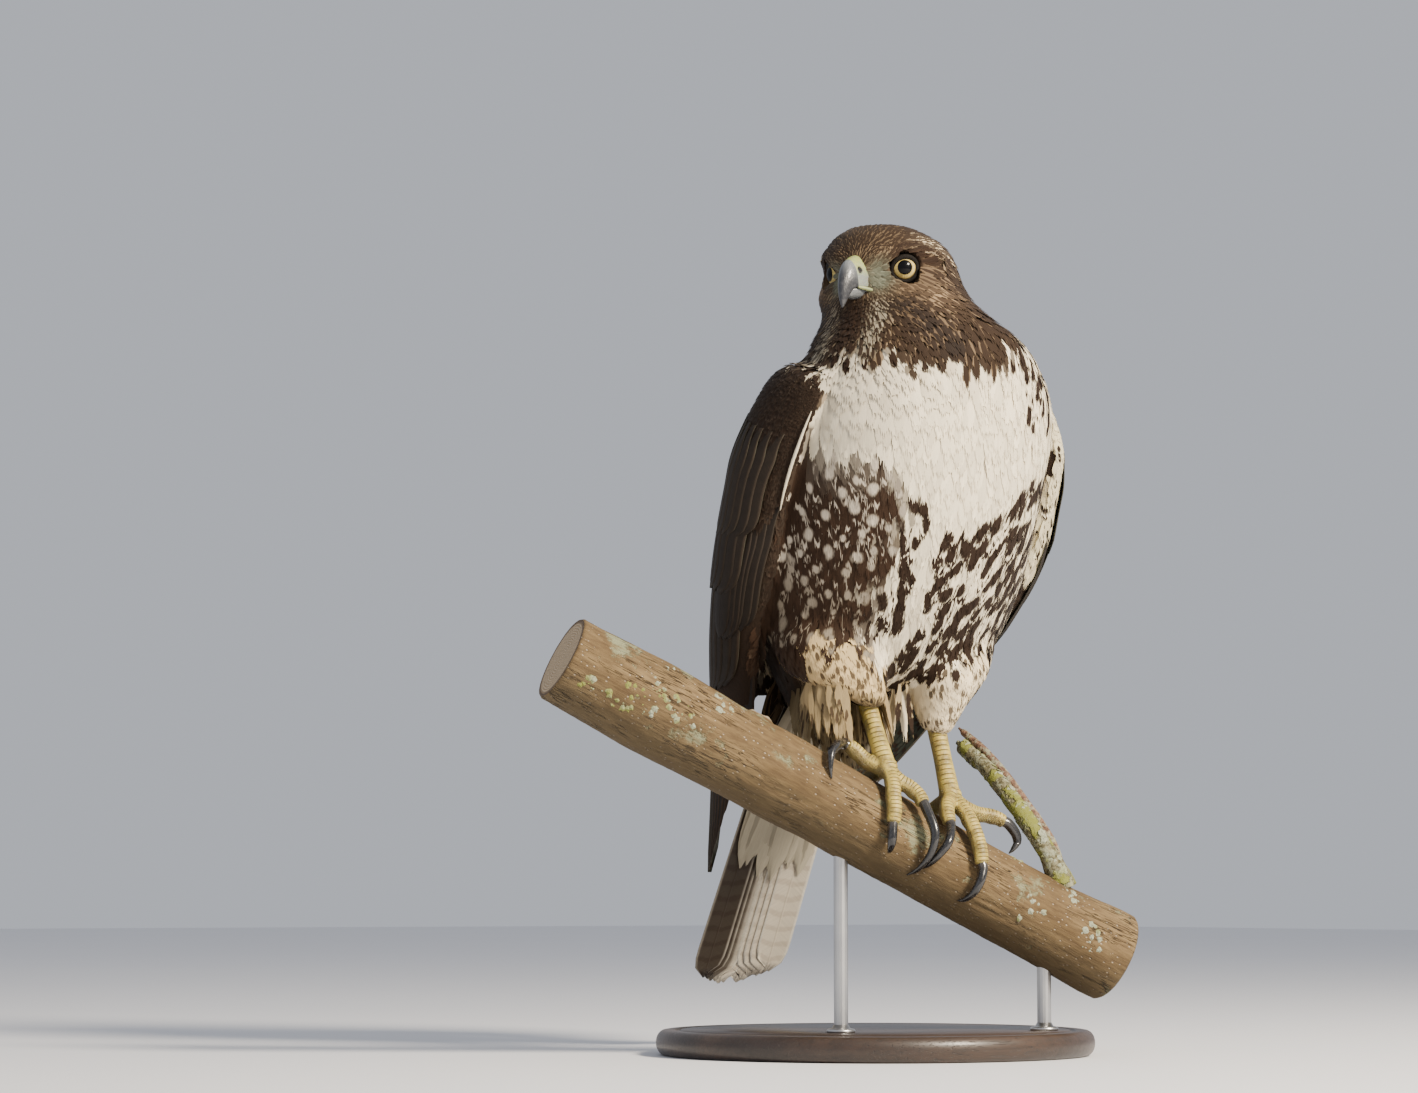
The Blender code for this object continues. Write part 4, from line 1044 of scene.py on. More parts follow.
# Ankle and leg top as places from the grip. Toes and claws as places beside the branch: millimetres along it,
# degrees from its top to the front, and millimetres from its axis
FEET_MM = {
    "right": {
        "ankle": (-28.0, -8.0, 53.0),
        "leg_top": (-28.4, 15.0, 97.0),
        "front_inner": ((-37, 30, 36), (-29, 32, 36), (-22.5, 39, 36), (-18.5, 48, 36)),
        "front_inner_claw": (
            (-15, 58, 37), (-7.5, 74, 37.4), (-3.5, 94, 35), (-4, 116, 31), (-6.5, 134, 27.7)
        ),
        "front_middle": ((-42, 38, 35.6), (-39, 55, 33.4), (-35.5, 71, 32.8), (-33, 86, 32.6)),
        "front_middle_claw": (
            (-32, 92, 33.6), (-30, 100, 34.6), (-28, 107, 33.6), (-26.5, 113, 31), (-25.5, 119, 27.7)
        ),
        "front_outer": ((-51, 20, 36), (-60, 12, 35.2), (-69, 9, 37.6), (-75, 10, 37.8)),
        "front_outer_claw": (
            (-78, 14, 37.4), (-83.5, 28, 36.4), (-86, 44, 33.6), (-83.5, 58, 30.4), (-79.5, 68, 27.8)
        ),
        "rear": ((-43, -4, 37), (-44, -22, 34.6), (-44, -42, 33), (-43, -58, 32.6)),
        "rear_claw": (
            (-43, -66, 33.2), (-42, -84, 34.4), (-42, -102, 33.2), (-42, -116, 30.4), (-42, -126, 27.8)
        ),
    },
    "left": {
        "ankle": (20.0, -8.0, 36.0),
        "leg_top": (23.0, 12.5, 81.0),
        "front_inner": ((0.5, 18, 38), (-1, 30, 36), (0, 42, 34.6), (2.4, 52, 34.2)),
        "front_inner_claw": (
            (3.6, 60, 35.6), (3.6, 76, 36.4), (2, 92, 34), (0.5, 105, 30.8), (-0.8, 115, 27.7)
        ),
        "front_middle": ((11, 22, 38), (18, 39, 35.6), (26, 59, 33.2), (32, 79, 32.6)),
        "front_middle_claw": (
            (33.2, 86, 33.2), (34, 97, 34.6), (34, 110, 33.4), (32.5, 122, 30.8), (30.5, 131, 27.7)
        ),
        "front_outer": ((14, 4, 39.6), (25, 0, 40.4), (36, -1, 44), (45, 0, 44.4)),
        "front_outer_claw": ((49, 0, 43.6), (54, 1, 41), (57, 2, 36.6), (56.6, 3, 32), (55.2, 3, 27.8)),
        "rear": ((4, -10, 39), (3, -28, 35.6), (2, -46, 33.4), (3, -61, 32.6)),
        "rear_claw": ((3, -69, 33.2), (4, -87, 34.4), (4, -105, 33.2), (4, -119, 30.4), (4, -129, 27.8)),
    },
}
TOES = ("front_middle", "front_outer", "front_inner", "rear")
TOE_RADII_MM = (4.6, 5.0, 5.0, 4.8, 4.3)
LEG_RADII_MM = (6.8, 6.2, 5.8, 6.0, 6.2)
CLAW_RADII_MM = (3.6, 3.8, 3.5, 2.8, 1.8, 0.35)
TOE_PLATE_MM, LEG_PLATE_MM = 2.5, 3.4
LIMB_STEPS = 60  # points along each leg and toe
CLAW_STEPS, CLAW_AROUND = 44, 18
LEG_VOXEL = 0.62 * MM


def leg_finish():
    """Yellow horn: dark lines between the plates, small round scales elsewhere, and olive painted shade on
    the sides that face away from the leg's front and the toes' tops."""
    leg = Finish("leg_scales", Roughness=0.5, Subsurface_Weight=0.08, Subsurface_Scale=0.002)
    plate = leg.node("Attribute", {"attribute_name": "plate"}, output="Vector")
    count = leg.node("SeparateXYZ", None, {0: plate}, output=0)
    top = leg.node("SeparateXYZ", None, {0: plate}, output=1)
    part = count.math("FRACT", count)
    groove = (1 - part.within(0.0, 0.16)) + part.within(0.9, 1.0)
    groove = groove * top.within(0.35, 0.7)
    cells = leg.node("TexVoronoi", {"feature": "DISTANCE_TO_EDGE"}, {"Vector": leg.place(), "Scale": 760.0})
    beads = (1 - cells.within(0.0, 0.16)) * (1 - top.within(0.0, 0.3))
    cloud = leg.noise(leg.place(), 130.0, 3.0)
    fine = leg.noise(leg.place(), 900.0, 3.0)
    colour = leg.mix(cloud.within(0.35, 0.65), (0.47, 0.36, 0.085), (0.23, 0.17, 0.045))
    colour = leg.mix(fine.within(0.5, 0.75) * 0.4, colour, (0.56, 0.47, 0.18))
    colour = leg.mix(beads * 0.55, colour, (0.17, 0.125, 0.045))
    colour = leg.mix(groove * 0.8, colour, (0.10, 0.07, 0.03))
    # Painted shade: olive brown where the skin faces away from the leg's front and the toes' tops.
    colour = leg.mix(top.within(0.5, -0.5) * 0.65, colour, (0.17, 0.135, 0.055))
    return leg.paint(Base_Color=colour, Normal=leg.bump(fine * 0.3 - groove - beads * 0.8, 0.0007))


def claw_finish():
    """Black horn that is polished, with faint grain along it and a worn grey root."""
    claw = Finish("claw_horn", Roughness=0.2, Coat_Weight=0.6, Coat_Roughness=0.08)
    rootward = claw.node("Attribute", {"attribute_name": "rootward"}, output="Fac")
    grain = claw.noise(claw.place(), 700.0, 3.0)
    colour = claw.mix(grain.within(0.3, 0.7), (0.006, 0.006, 0.007), (0.020, 0.019, 0.020))
    colour = claw.mix(rootward.within(0.7, 1.0) * 0.6, colour, (0.085, 0.075, 0.065))
    return claw.paint(Base_Color=colour, Roughness=0.16 + grain * 0.2)


def path_through(joints, count):
    """Points evenly spaced in the table's steps along a smooth line through the joints."""
    return through(joints, np.linspace(0, len(joints) - 1, count))


def tree_of(places, numbers=None):
    """A tree that finds the places nearest to a point, each under its own number."""
    tree = KDTree(len(places))
    for number, spot in zip(range(len(places)) if numbers is None else numbers, places):
        tree.insert(spot, number)
    tree.balance()
    return tree


leg_paint, claw_paint = leg_finish(), claw_finish()
for side, parts in FEET_MM.items():
    ankle, leg_top = grip_mm(parts["ankle"]), grip_mm(parts["leg_top"])
    lines, tops, girths, pitch = [], [], [], []
    leg_line = ankle + (leg_top - ankle) * np.linspace(-0.02, 1.12, LIMB_STEPS)[:, None]
    lines.append(leg_line)
    girths.append(through(np.array(LEG_RADII_MM)[:, None], np.linspace(0, 4, LIMB_STEPS)))
    tops.append(np.broadcast_to(PERCH_FRONT - 0.4 * PERCH_UP, leg_line.shape))
    pitch.append(LEG_PLATE_MM)
    for toe in TOES:
        line = path_through(np.concatenate((ankle[None], on_perch(parts[toe]))), LIMB_STEPS)
        lines.append(line)
        girths.append(through(np.array(TOE_RADII_MM)[:, None], np.linspace(0, 4, LIMB_STEPS)))
        away = line - GRIP
        away = away - (away @ PERCH_ALONG)[:, None] * PERCH_ALONG
        tops.append(away / np.linalg.norm(away, axis=1)[:, None])
        pitch.append(TOE_PLATE_MM)
    solids = []
    for line, girth, top in zip(lines, girths, tops):
        steps = np.arange(LIMB_STEPS)
        round_ends = np.clip(np.minimum(steps, steps[::-1]) / 3, 0.55, 1)[:, None]
        solids.append(capped(swept(line, top.mean(axis=0), np.repeat(girth * round_ends * MM, 24, axis=1))))
    latitude = np.radians(np.linspace(-85, 85, 13))
    knuckle = turned(ankle, np.stack((7.4 * MM * np.cos(latitude), 7.4 * MM * np.sin(latitude)), axis=-1), 24)
    solids.append(capped(knuckle))
    points, triangles = united(solids, LEG_VOXEL, 5)
    normals = outward(points, triangles)
    samples = np.concatenate(lines)
    tree = tree_of(samples)
    closest = np.array([tree.find(spot)[1] for spot in points])
    travel = np.concatenate([
        np.concatenate(([0], np.cumsum(np.linalg.norm(np.diff(line, axis=0), axis=1)))) / (step * MM)
        for line, step in zip(lines, pitch)
    ])
    limb = closest // LIMB_STEPS
    heading = np.concatenate([np.gradient(line, axis=0) for line in lines])[closest]
    beyond = ((points - samples[closest]) * heading).sum(axis=1) / (heading**2).sum(axis=1)
    plate_step = np.concatenate([np.gradient(line) for line in np.split(travel, len(lines))])[closest]
    plate = travel[closest] + beyond * plate_step
    upper = (normals * np.concatenate(tops)[closest]).sum(axis=1)
    part = plate % 1.0
    ridge = 0.16 * (1 - 4 * (part - 0.5) ** 2) * eased(upper, 0.35, 0.8)
    pads = 0.5 * np.sin(plate * 2 * math.pi / 4.2) * eased(-upper, 0.3, 0.8) * (limb > 0)
    points = points + normals * ((ridge + 0.6 * pads) * MM)[:, None]
    nodes = [f"tarsus_{side}", f"foot_{side}"] + [f"{toe}_toe_{side}" for toe in TOES]
    leg = piece(f"leg_{side}", points, [triangles], leg_paint, "leg_scales", nodes)
    attach(leg, "plate", np.stack((plate, upper, limb), axis=-1))

    claw_blocks, claw_parts, claw_roots = [], [], []
    for number, toe in enumerate(TOES):
        end = lines[number + 1][-4:]
        straight = (end[-1] - end[0]) / np.linalg.norm(end[-1] - end[0])
        joints = np.concatenate(
            ((end[-1] - straight * 2.4 * MM, end[-1] + straight * 2 * MM), on_perch(parts[toe + "_claw"])[1:])
        )
        line = path_through(joints, CLAW_STEPS)
        thick = through(np.array(CLAW_RADII_MM)[:, None], np.linspace(0, 5, CLAW_STEPS)) * MM
        angle = np.linspace(0, 2 * math.pi, CLAW_AROUND, endpoint=False)
        oval = thick * (1 - 0.14 * np.abs(np.sin(angle)) - 0.10 * (np.cos(angle) < -0.5))
        claw_points, claw_faces = capped(swept(line, tops[number + 1][-1], oval))
        claw_faces = [block + number * len(claw_points) for block in claw_faces]
        claw_blocks.append(claw_points)
        claw_parts += claw_faces
        claw_roots.append(np.concatenate((np.repeat(np.linspace(1, 0, CLAW_STEPS), CLAW_AROUND), (1, 0))))
    claws = piece(
        f"claws_{side}", np.concatenate(claw_blocks), claw_parts, claw_paint, "claw_horn",
        [f"{toe}_claw_{side}" for toe in TOES],
    )
    attach(claws, "rootward", np.concatenate(claw_roots))

# Lie of the coat
# A bird's feathers grow in tracts: they start at the bill, run back over the face and crown, spread down the
# neck, fall down the breast, turn in under the belly, and run along the wings towards their tips.

BODY, WING_RIGHT, WING_LEFT, THIGH_RIGHT, THIGH_LEFT = range(5)
WING_SIDES = {"right": WING_RIGHT, "left": WING_LEFT}

coat_mm = (coat_points - GRIP) / MM
sample_mm, sample_part, sample_along, sample_turn, sample_flow = [], [], [], [], []


def note_samples(grid_mm, part, along, turn, flow):
    """Keeps a part's grid of points with its place in that part's own two parameters and the feathers'
    direction."""
    sample_mm.append(grid_mm.reshape(-1, 3))
    sample_part.append(np.full(grid_mm[..., 0].size, part))
    sample_along.append(np.broadcast_to(along, grid_mm.shape[:2]).ravel())
    sample_turn.append(np.broadcast_to(turn, grid_mm.shape[:2]).ravel())
    sample_flow.append(np.broadcast_to(flow, grid_mm.shape).reshape(-1, 3))


ring_turn = np.linspace(0, 2 * math.pi, 72, endpoint=False)
note_samples(body_grid, BODY, body_stations[:, None], ring_turn[None], (0.0, 0.0, -1.0))
for side, part in WING_SIDES.items():
    u, v = np.meshgrid(np.linspace(0, 5, 60), np.linspace(0, 1, 30), indexing="ij")
    at, out, down, across = wing_faces(side, u, v)
    note_samples(at, part, u, v, down)
for side, part, flow in (
    ("right", THIGH_RIGHT, (0.12, -0.30, -0.92)), ("left", THIGH_LEFT, (-0.16, -0.30, -0.92))
):
    rings = thigh_rings(side)
    note_samples(
        rings, part, np.linspace(0, 1, 24)[:, None], np.linspace(0, 2 * math.pi, 48, endpoint=False)[None],
        flow
    )
sample_mm, sample_part, sample_along, sample_turn, sample_flow = (
    np.concatenate(rows) for rows in (sample_mm, sample_part, sample_along, sample_turn, sample_flow)
)
sample_tree = tree_of(sample_mm)
coat_sample = np.array([sample_tree.find(spot)[1] for spot in coat_mm])


def facts(mm, sample, normal):
    """What a place on the coat needs to know: its part, its parameters there, and its place on the head."""
    head = to_head(mm)
    return {
        "mm": mm,
        "normal": normal,
        "part": sample_part[sample],
        "along": sample_along[sample],
        "turn": sample_turn[sample],
        "flow": sample_flow[sample],
        "head": head,
        "folded": one_sided(head),
        "bill": np.linalg.norm(head - np.array(BILL_ROOT_MM), axis=1),
    }


def unit(vectors):
    return vectors / np.maximum(np.linalg.norm(vectors, axis=-1), 1e-9)[..., None]


def lie(place):
    """The direction of the feathers: away from the bill on the head, down the breast, in under the belly,
    down the back, and along wings and thighs, each weighed by the place."""
    mm, part, body = place["mm"], place["part"], place["part"] == BODY
    away = mm - from_head((20.0, 0.0, 4.0))
    on_head = 1 - eased(place["bill"], 42, 105)
    x, y, z = mm.T
    fall = unit(
        np.stack(
            (0.10 * np.sign(x) * eased(z, 250, 320), -0.25 * eased(z, 230, 320), -np.ones(len(mm))), axis=-1
        )
    )
    tuck = unit(np.array((0.0, 128.0, 30.0)) - mm)
    low = 1 - eased(z, 150, 232)
    front = fall * (1 - low)[:, None] + tuck * low[:, None]
    back = unit(np.stack((-0.10 * np.sign(x), np.full(len(mm), 0.46), np.full(len(mm), -0.88)), axis=-1))
    behind = eased(place["normal"][:, 1], -0.1, 0.5)[:, None]
    below = unit(front * (1 - behind) + back * behind)
    flow = unit(away) * on_head[:, None] + below * (1 - on_head)[:, None]
    flow = np.where(body[:, None], flow, place["flow"])
    flow = flow - (flow * place["normal"]).sum(axis=1)[:, None] * place["normal"]
    return unit(flow)


def sizes_mm(place):
    """Length, width, spacing and depth of the feathers: they grow with the distance from the bill, and
    each part has its own measure after that."""
    part, along = place["part"], place["along"]
    length = np.clip(3.6 + 0.25 * place["bill"], 5.2, 25.0)
    behind = eased(place["normal"][:, 1], 0.0, 0.5) * eased(place["bill"], 70, 110)
    width = length * (0.46 + 0.10 * behind)
    length = length * (1 + 0.3 * behind)
    soft = (part == BODY) * eased(place["bill"], 70, 105) * (1 - behind)
    length = length * (1 + 0.12 * soft)
    width = width * (1 - 0.30 * soft)
    spacing = np.maximum(0.225 * length * (1 - 0.14 * soft), 1.75)
    vent = (part == BODY) * (1 - eased(along, 0.8, 2.2))
    length = length + 9 * vent
    wing = (part == WING_RIGHT) | (part == WING_LEFT)
    covert = 9 + 15 * eased(along, 0.0, 2.4) + 5 * eased(place["turn"], 0.3, 0.9)
    covert = covert * np.where((part == WING_RIGHT) & (place["turn"] < 0.09), 0.55, 1.0)
    length = np.where(wing, covert, length)
    width = np.where(wing, covert * 0.52, width)
    spacing = np.where(wing, covert * 0.25, spacing)
    thigh = part >= THIGH_RIGHT
    leg = 20 - 11 * eased(along, 0.35, 1.0)
    length = np.where(thigh, leg, length)
    width = np.where(thigh, leg * 0.42, width)
    spacing = np.where(thigh, leg * 0.21, spacing)
    depth = np.clip(0.13 * length + 0.5, 1.0, 3.4) * (1 - 0.5 * soft)
    depth = np.where(wing, 1.4, depth)
    return length, width, spacing, depth


coat_facts = facts(coat_mm, coat_sample, coat_normals)
coat_depth = sizes_mm(coat_facts)[3]

# Markings
# The young bird's pattern: brown hood with buff edges, pale brow, white breast, a belly band of dark drops, a
# flank of dark feathers with pale spots, dark brown back and wings with paler edges. Skin and coat share it.
# Painted shade darkens the throat, the feathers above the eye, the breast beside the right wing, the lower
# belly, the right thigh and the wings.

CREAM = np.array((0.76, 0.675, 0.505))
BUFF = np.array((0.33, 0.225, 0.130))
UMBER = np.array((0.040, 0.024, 0.014))
EARTH = np.array((0.026, 0.017, 0.011))
DARK = np.array((0.021, 0.011, 0.006))
BELLY_DROP, FLANK_SPOT, BIB_DROP = 1, 2, 3
SOOT = np.array((0.010, 0.007, 0.006))
PALE_GREY = np.array((0.155, 0.165, 0.118))
BAND_TOP_X = (-110, -90, -60, -20, 0, 30, 60, 90, 120)
BAND_TOP_Z = (272, 268, 258, 232, 216, 232, 254, 280, 292)
STRIPE_Z = (90, 100, 130, 160, 215, 250, 300)
STRIPE_X = (-42, -40, -33, -14, -20, -15, -14)


def blend(colour, other, share):
    """A row of colours moved towards another colour by a share for each row."""
    return colour + (np.asarray(other) - colour) * np.clip(share, 0, 1)[:, None]


def chosen(where, values, rows):
    """Rows that take a new value each where a condition holds."""
    return tuple(np.where(where, value, row) for value, row in zip(values, rows))


def markings(place, chance, waver):
    """Ground colour, mark colour, the mark's strength, the streak's half width, middle and half length on
    a vane, and whether the mark is a drop that lies across several vanes. chance is from 0 to 1 and waver
    from -1 to 1."""
    mm, part, along, turn = place["mm"], place["part"], place["along"], place["turn"]
    folded, normal = place["folded"], place["normal"]
    x, y, z = mm.T
    count = len(mm)
    body, right, left = part == BODY, part == WING_RIGHT, part == WING_LEFT
    thigh = part >= THIGH_RIGHT
    behind = eased(normal[:, 1] + 0.12 * waver, 0.02, 0.30)

    ground = np.tile(CREAM, (count, 1))
    mark = np.tile(DARK, (count, 1))
    strength = np.zeros(count)
    wide, middle, long = np.full(count, 0.30), np.full(count, 0.55), np.full(count, 0.55)
    drop = np.zeros(count, int)

    hood_edge = 314 + 7 * waver + 36 * eased(x, 6, 58) + 5 * np.sin(x * 0.35) * (y < 0)
    hood = body * eased(z, hood_edge - 3, hood_edge + 3)
    hood = np.maximum(hood, body * behind)
    hood = np.maximum(hood, body * (1 - eased(x + 4 * waver, -84, -74)) * eased(z, 280, 296))
    edge_zone = body * np.exp(-(((z - hood_edge + 5) / 10) ** 2)) * (1 - behind)
    ground = blend(ground, BUFF * 0.50, hood)
    strength = np.maximum(strength, hood * 0.96)
    wide, middle, long = chosen(hood > 0.5, (0.66, 0.40, 0.66), (wide, middle, long))
    crown = hood * eased(folded[:, 2], 12, 20)
    streak = chance + 0.25 * waver
    wide = np.where(hood > 0.5, np.select([streak < 0.42, streak < 0.74], [0.97, 0.76], 0.46), wide)
    wide = np.minimum(wide + 0.22 * crown, 0.95)
    ground = blend(ground, BUFF * 0.34, crown)
    mark = blend(mark, UMBER * 0.85, crown * 0.45)

    cheek = near(folded, (8, 41, -9), (18, 14, 10)) * body
    ground = blend(ground, BUFF * 0.74, cheek * 1.2)
    mark = blend(mark, UMBER * 1.15, cheek * 1.2)
    wide = wide - 0.18 * np.clip(cheek * 1.2, 0, 1)
    brow = near_line(folded, ((12, 30, 20.0), (0, 34, 22.5), (-13, 36, 20.5)), 6.2) * body
    brow = np.maximum(brow, 0.45 * near_line(folded, ((-13, 36, 20.5), (-26, 38, 13)), 5.0) * body)
    ground = blend(ground, np.array((0.66, 0.53, 0.35)), brow * 1.2)
    wide = wide - 0.36 * np.clip(brow * 1.3, 0, 1)
    mark = blend(mark, UMBER, brow)
    lore = near(folded, (31, 13.5, 0), (7, 7.5, 6.5)) * body
    ground = blend(ground, PALE_GREY, lore * 1.4)
    strength = strength * (1 - 0.7 * np.clip(lore * 1.4, 0, 1))
    under_eye = near_line(folded, ((24, 27, -6), (10, 37, -6)), 6.0) * body
    ground = blend(ground, BUFF * 0.9, under_eye * 0.6)
    strength = strength * (1 - 0.4 * under_eye)
    eye_off, eye_ahead = from_eye(folded)
    # Dark feathers round the eye, made darker above it as painted shadow of the brow.
    eye_ring_and_brow_shadow = np.exp(-(((eye_off - 10.8) / 3.2) ** 2)) * (eye_ahead > 0) * (place["bill"] < 60) * body
    eye_ring_and_brow_shadow = eye_ring_and_brow_shadow * (0.35 + 0.65 * eased(folded[:, 2], 4, 9))
    ground = blend(ground, DARK * 1.4, eye_ring_and_brow_shadow * 1.3)
    mark = blend(mark, DARK, eye_ring_and_brow_shadow)
    gape_spot = near(folded, (22, 29, -10), (3.4, 3.4, 2.6)) * body
    ground = blend(ground, DARK, gape_spot * 1.4)
    malar = near_line(folded, ((26, 27, -17), (24, 42, -28), (18, 56, -36)), 9.0) * body
    mark = blend(mark, SOOT * 1.4, malar)
    ground = blend(ground, UMBER * 1.6, malar * 0.7)
    # The throat's dark streaking, darkened further as painted shade under the bill.
    throat = near(folded, (38, 0, -26), (16, 13, 22)) * body
    ground = blend(ground, DARK * 1.3, throat * 1.3)
    chin = near_line(folded, ((35, 15, -15), (39, 16, -26), (46, 14, -42)), 5.5) * body
    ground = blend(ground, np.array((0.25, 0.215, 0.155)), chin * 1.3)
    wide = wide - 0.30 * np.clip(chin * 1.3, 0, 1)

    ground = blend(ground, CREAM, edge_zone * (1 - hood))
    tip_drop = (edge_zone > 0.25) & (hood < 0.6)
    drop = np.where(tip_drop, BIB_DROP, drop)
    strength = np.where(tip_drop, 1.0, strength)

    open_breast = body & (hood < 0.5)
    band_top = np.interp(x, BAND_TOP_X, BAND_TOP_Z) + 7 * waver
    band = open_breast * (1 - eased(z, band_top - 6, band_top + 2)) * eased(z, 96, 116)
    stripe = np.exp(-(((x - np.interp(z, STRIPE_Z, STRIPE_X)) / (6 + 2 * waver)) ** 4)) * (y < 60)
    flank = band * (1 - eased(x + 13 * waver, -50, -40)) * (1 - stripe)
    ground = blend(ground, DARK * 1.5, flank)
    mark = blend(mark, np.array((0.46, 0.40, 0.32)), flank)
    mark = blend(mark, np.array((0.20, 0.165, 0.12)), flank * (1 - eased(z + 14 * waver, 160, 228)) * 0.9)
    spotted = (band > 0.5) & (stripe < 0.5)
    drop = np.where(spotted, np.where(flank > 0.5, FLANK_SPOT, BELLY_DROP), drop)
    strength = np.where(spotted, 1.0, strength)
    # Painted shade: the breast greys beside the right wing.
    shade = open_breast * np.exp(-(((x + 70) / 30) ** 2)) * eased(z, 235, 280)
    ground = blend(ground, np.array((0.40, 0.36, 0.29)), shade * 0.55)
    stray = open_breast & (z > 286) & (x > 38) & (drop == 0)
    drop = np.where(stray, BIB_DROP, drop)
    strength = np.where(stray, 1.0, strength)

    ground = np.where(thigh[:, None], CREAM * np.array((0.98, 0.93, 0.84)), ground)
    strength = np.where(thigh, (chance < np.where(part == THIGH_RIGHT, 0.5, 0.42)) * 0.9, strength)
    outer_thigh = (part == THIGH_RIGHT) & (x < -77)
    ground = np.where(outer_thigh[:, None], DARK * 1.8, ground)
    # Painted shade: the lower belly and the right thigh are dulled to a dark buff.
    low_right_buff_and_shade = ((part == THIGH_RIGHT) & ~outer_thigh) | (body & (x < 5) & (z < 118))
    ground = np.where(low_right_buff_and_shade[:, None], ground * np.array((0.74, 0.65, 0.50)), ground)
    # Painted shade, darker still, on the feathers low over the feet.
    foot = low_right_buff_and_shade & (z < 110)
    ground = np.where(foot[:, None], ground * (0.42 + 0.26 * chance[:, None]), ground)
    belly_low = body & (z < 118) & (normal[:, 1] < 0.3) & (drop == 0)
    strength = np.where(belly_low, (chance < 0.5) * 0.9, strength)
    wide, middle, long = chosen(belly_low, (0.5, 0.86, 0.09), (wide, middle, long))
    mark = np.where(thigh[:, None], UMBER * 1.1, mark)
    wide, middle, long = chosen(thigh, (0.36, 0.78, 0.16), (wide, middle, long))

    wing = right | left
    pale_edge = left & (turn < 0.30 + 0.05 * waver) & (z > 190) & (z < 300)
    # The wings' dark brown, darkened further as painted shade.
    ground = np.where(wing[:, None], EARTH * (0.95 + 0.5 * chance[:, None]), ground)
    mark = np.where(wing[:, None], DARK * 0.9, mark)
    strength = np.where(wing, 1.0, strength)
    wide, middle, long = chosen(wing, (0.80, 0.30, 0.62), (wide, middle, long))
    ground = np.where(pale_edge[:, None], CREAM * np.array((0.86, 0.86, 0.78)), ground)
    strength = np.where(pale_edge, chance < 0.22, strength)
    wide, middle, long = chosen(pale_edge, (0.5, 0.72, 0.22), (wide, middle, long))

    mantle = (body & (behind > 0.5) & (z < 318) & (z > 120)) | (wing & (turn > 0.66) & (along < 3))
    mottled = mantle & (chance < 0.30)
    mark = np.where(mottled[:, None], np.array((0.34, 0.27, 0.19)), mark)
    ground = np.where(mottled[:, None], DARK * 1.3, ground)
    wide, middle, long = chosen(mottled, (0.42, 0.62, 0.14), (wide, middle, long))
    rump = body & (behind > 0.5) & (z < 120) & (np.abs(x) < 48)
    hidden_side = body & (behind > 0.2) & (z < 215) & (np.abs(x) > 48)
    ground = np.where(hidden_side[:, None], DARK * 1.6, ground)
    mark = np.where(hidden_side[:, None], EARTH, mark)
    ground = np.where(rump[:, None], BUFF, ground)
    return ground, mark, strength, np.clip(wide, 0.12, 0.9), middle, long, drop


def plumage(name):
    """One finish for skin and vanes: ground colour, a mark drawn where its two coordinates lie inside a
    wavering unit circle, and fine barbs that run along the vane."""
    coat = Finish(name, Roughness=0.75, Specular_IOR_Level=0.14, Sheen_Weight=0.03, Sheen_Roughness=0.5)
    ground = coat.node("Attribute", {"attribute_name": "ground"}, output="Color")
    mark = coat.node("Attribute", {"attribute_name": "mark"}, output="Color")
    figure = coat.node("Attribute", {"attribute_name": "figure"}, output="Vector")
    vane = coat.node("Attribute", {"attribute_name": "barbs"}, output="Vector")
    mark_x = coat.node("SeparateXYZ", None, {0: figure}, output=0)
    mark_y = coat.node("SeparateXYZ", None, {0: figure}, output=1)
    strength = coat.node("SeparateXYZ", None, {0: figure}, output=2)
    barbs = coat.noise(vane, 1.0, 3.0, 0.6)
    pale = coat.node("RGBToBW", None, {0: ground}).within(0.08, 0.5)
    flat = coat.node("CombineXYZ", None, {0: mark_x, 1: mark_y})
    reach = coat.node("VectorMath", {"operation": "LENGTH"}, {0: flat}, output="Value")
    reach = reach + (barbs - 0.5) * 0.9
    blur = coat.node("Attribute", {"attribute_name": "blur"}, output="Fac")
    inside = (1 - reach.within(0.93 - blur, 0.93 + blur)) * strength
    colour = coat.mix(inside, ground, mark)
    colour = coat.tint(colour, 1 + (barbs - 0.5) * (0.60 - pale * 0.36))
    return coat.paint(Base_Color=colour, Normal=coat.bump(barbs * (1 - pale * 0.5), 0.0005, 0.6))


plumage_paint = plumage("plumage")
coat_waver = lumps(coat_points, 0.011, 41)
skin_ground, skin_mark, skin_strength, skin_wide, _, _, skin_drop = markings(
    coat_facts, np.full(len(coat_mm), 0.6), coat_waver
)
skin_colour = blend(skin_ground, skin_mark, skin_strength * skin_wide * (skin_drop == 0) * 0.9)
eye_off, eye_ahead = from_eye(coat_facts["folded"])
sunk = coat_depth + 8.0 * np.exp(-((eye_off / 9.6) ** 8)) * (eye_ahead > 0) * (coat_facts["bill"] < 60)
skin = piece(
    "skin", coat_points - coat_normals * (sunk * MM)[:, None], [coat_triangles], plumage_paint,
    "plumage_pale", FLESH
)
clear = np.zeros((len(coat_mm), 1))
attach(skin, "ground", np.concatenate((skin_colour, clear + 1), axis=1))
attach(skin, "mark", np.concatenate((skin_colour, clear + 1), axis=1))
attach(skin, "figure", np.concatenate((clear + 3, clear + 3, clear), axis=1))
attach(skin, "barbs", coat_mm * np.array((0.8, 0.8, 0.12)))
attach(skin, "blur", np.full(len(coat_mm), 0.15))

# Small feathers
# Contour feathers of body and wing arms. Each is a thin vane on the skin, with its root under its neighbours,
# its edges bent down and its tip split into soft teeth, as loose barbs part at the end of a real one.

COAT_SEED = 7
PATH_STEPS = 5
PULL_MM = 1.2
CELL_MM = 6.0
TRIES, KEPT_GAP = 3.4, 0.72  # places tried for each one wanted, and the gap kept as a share of the spacing
coat_random = np.random.default_rng(COAT_SEED)


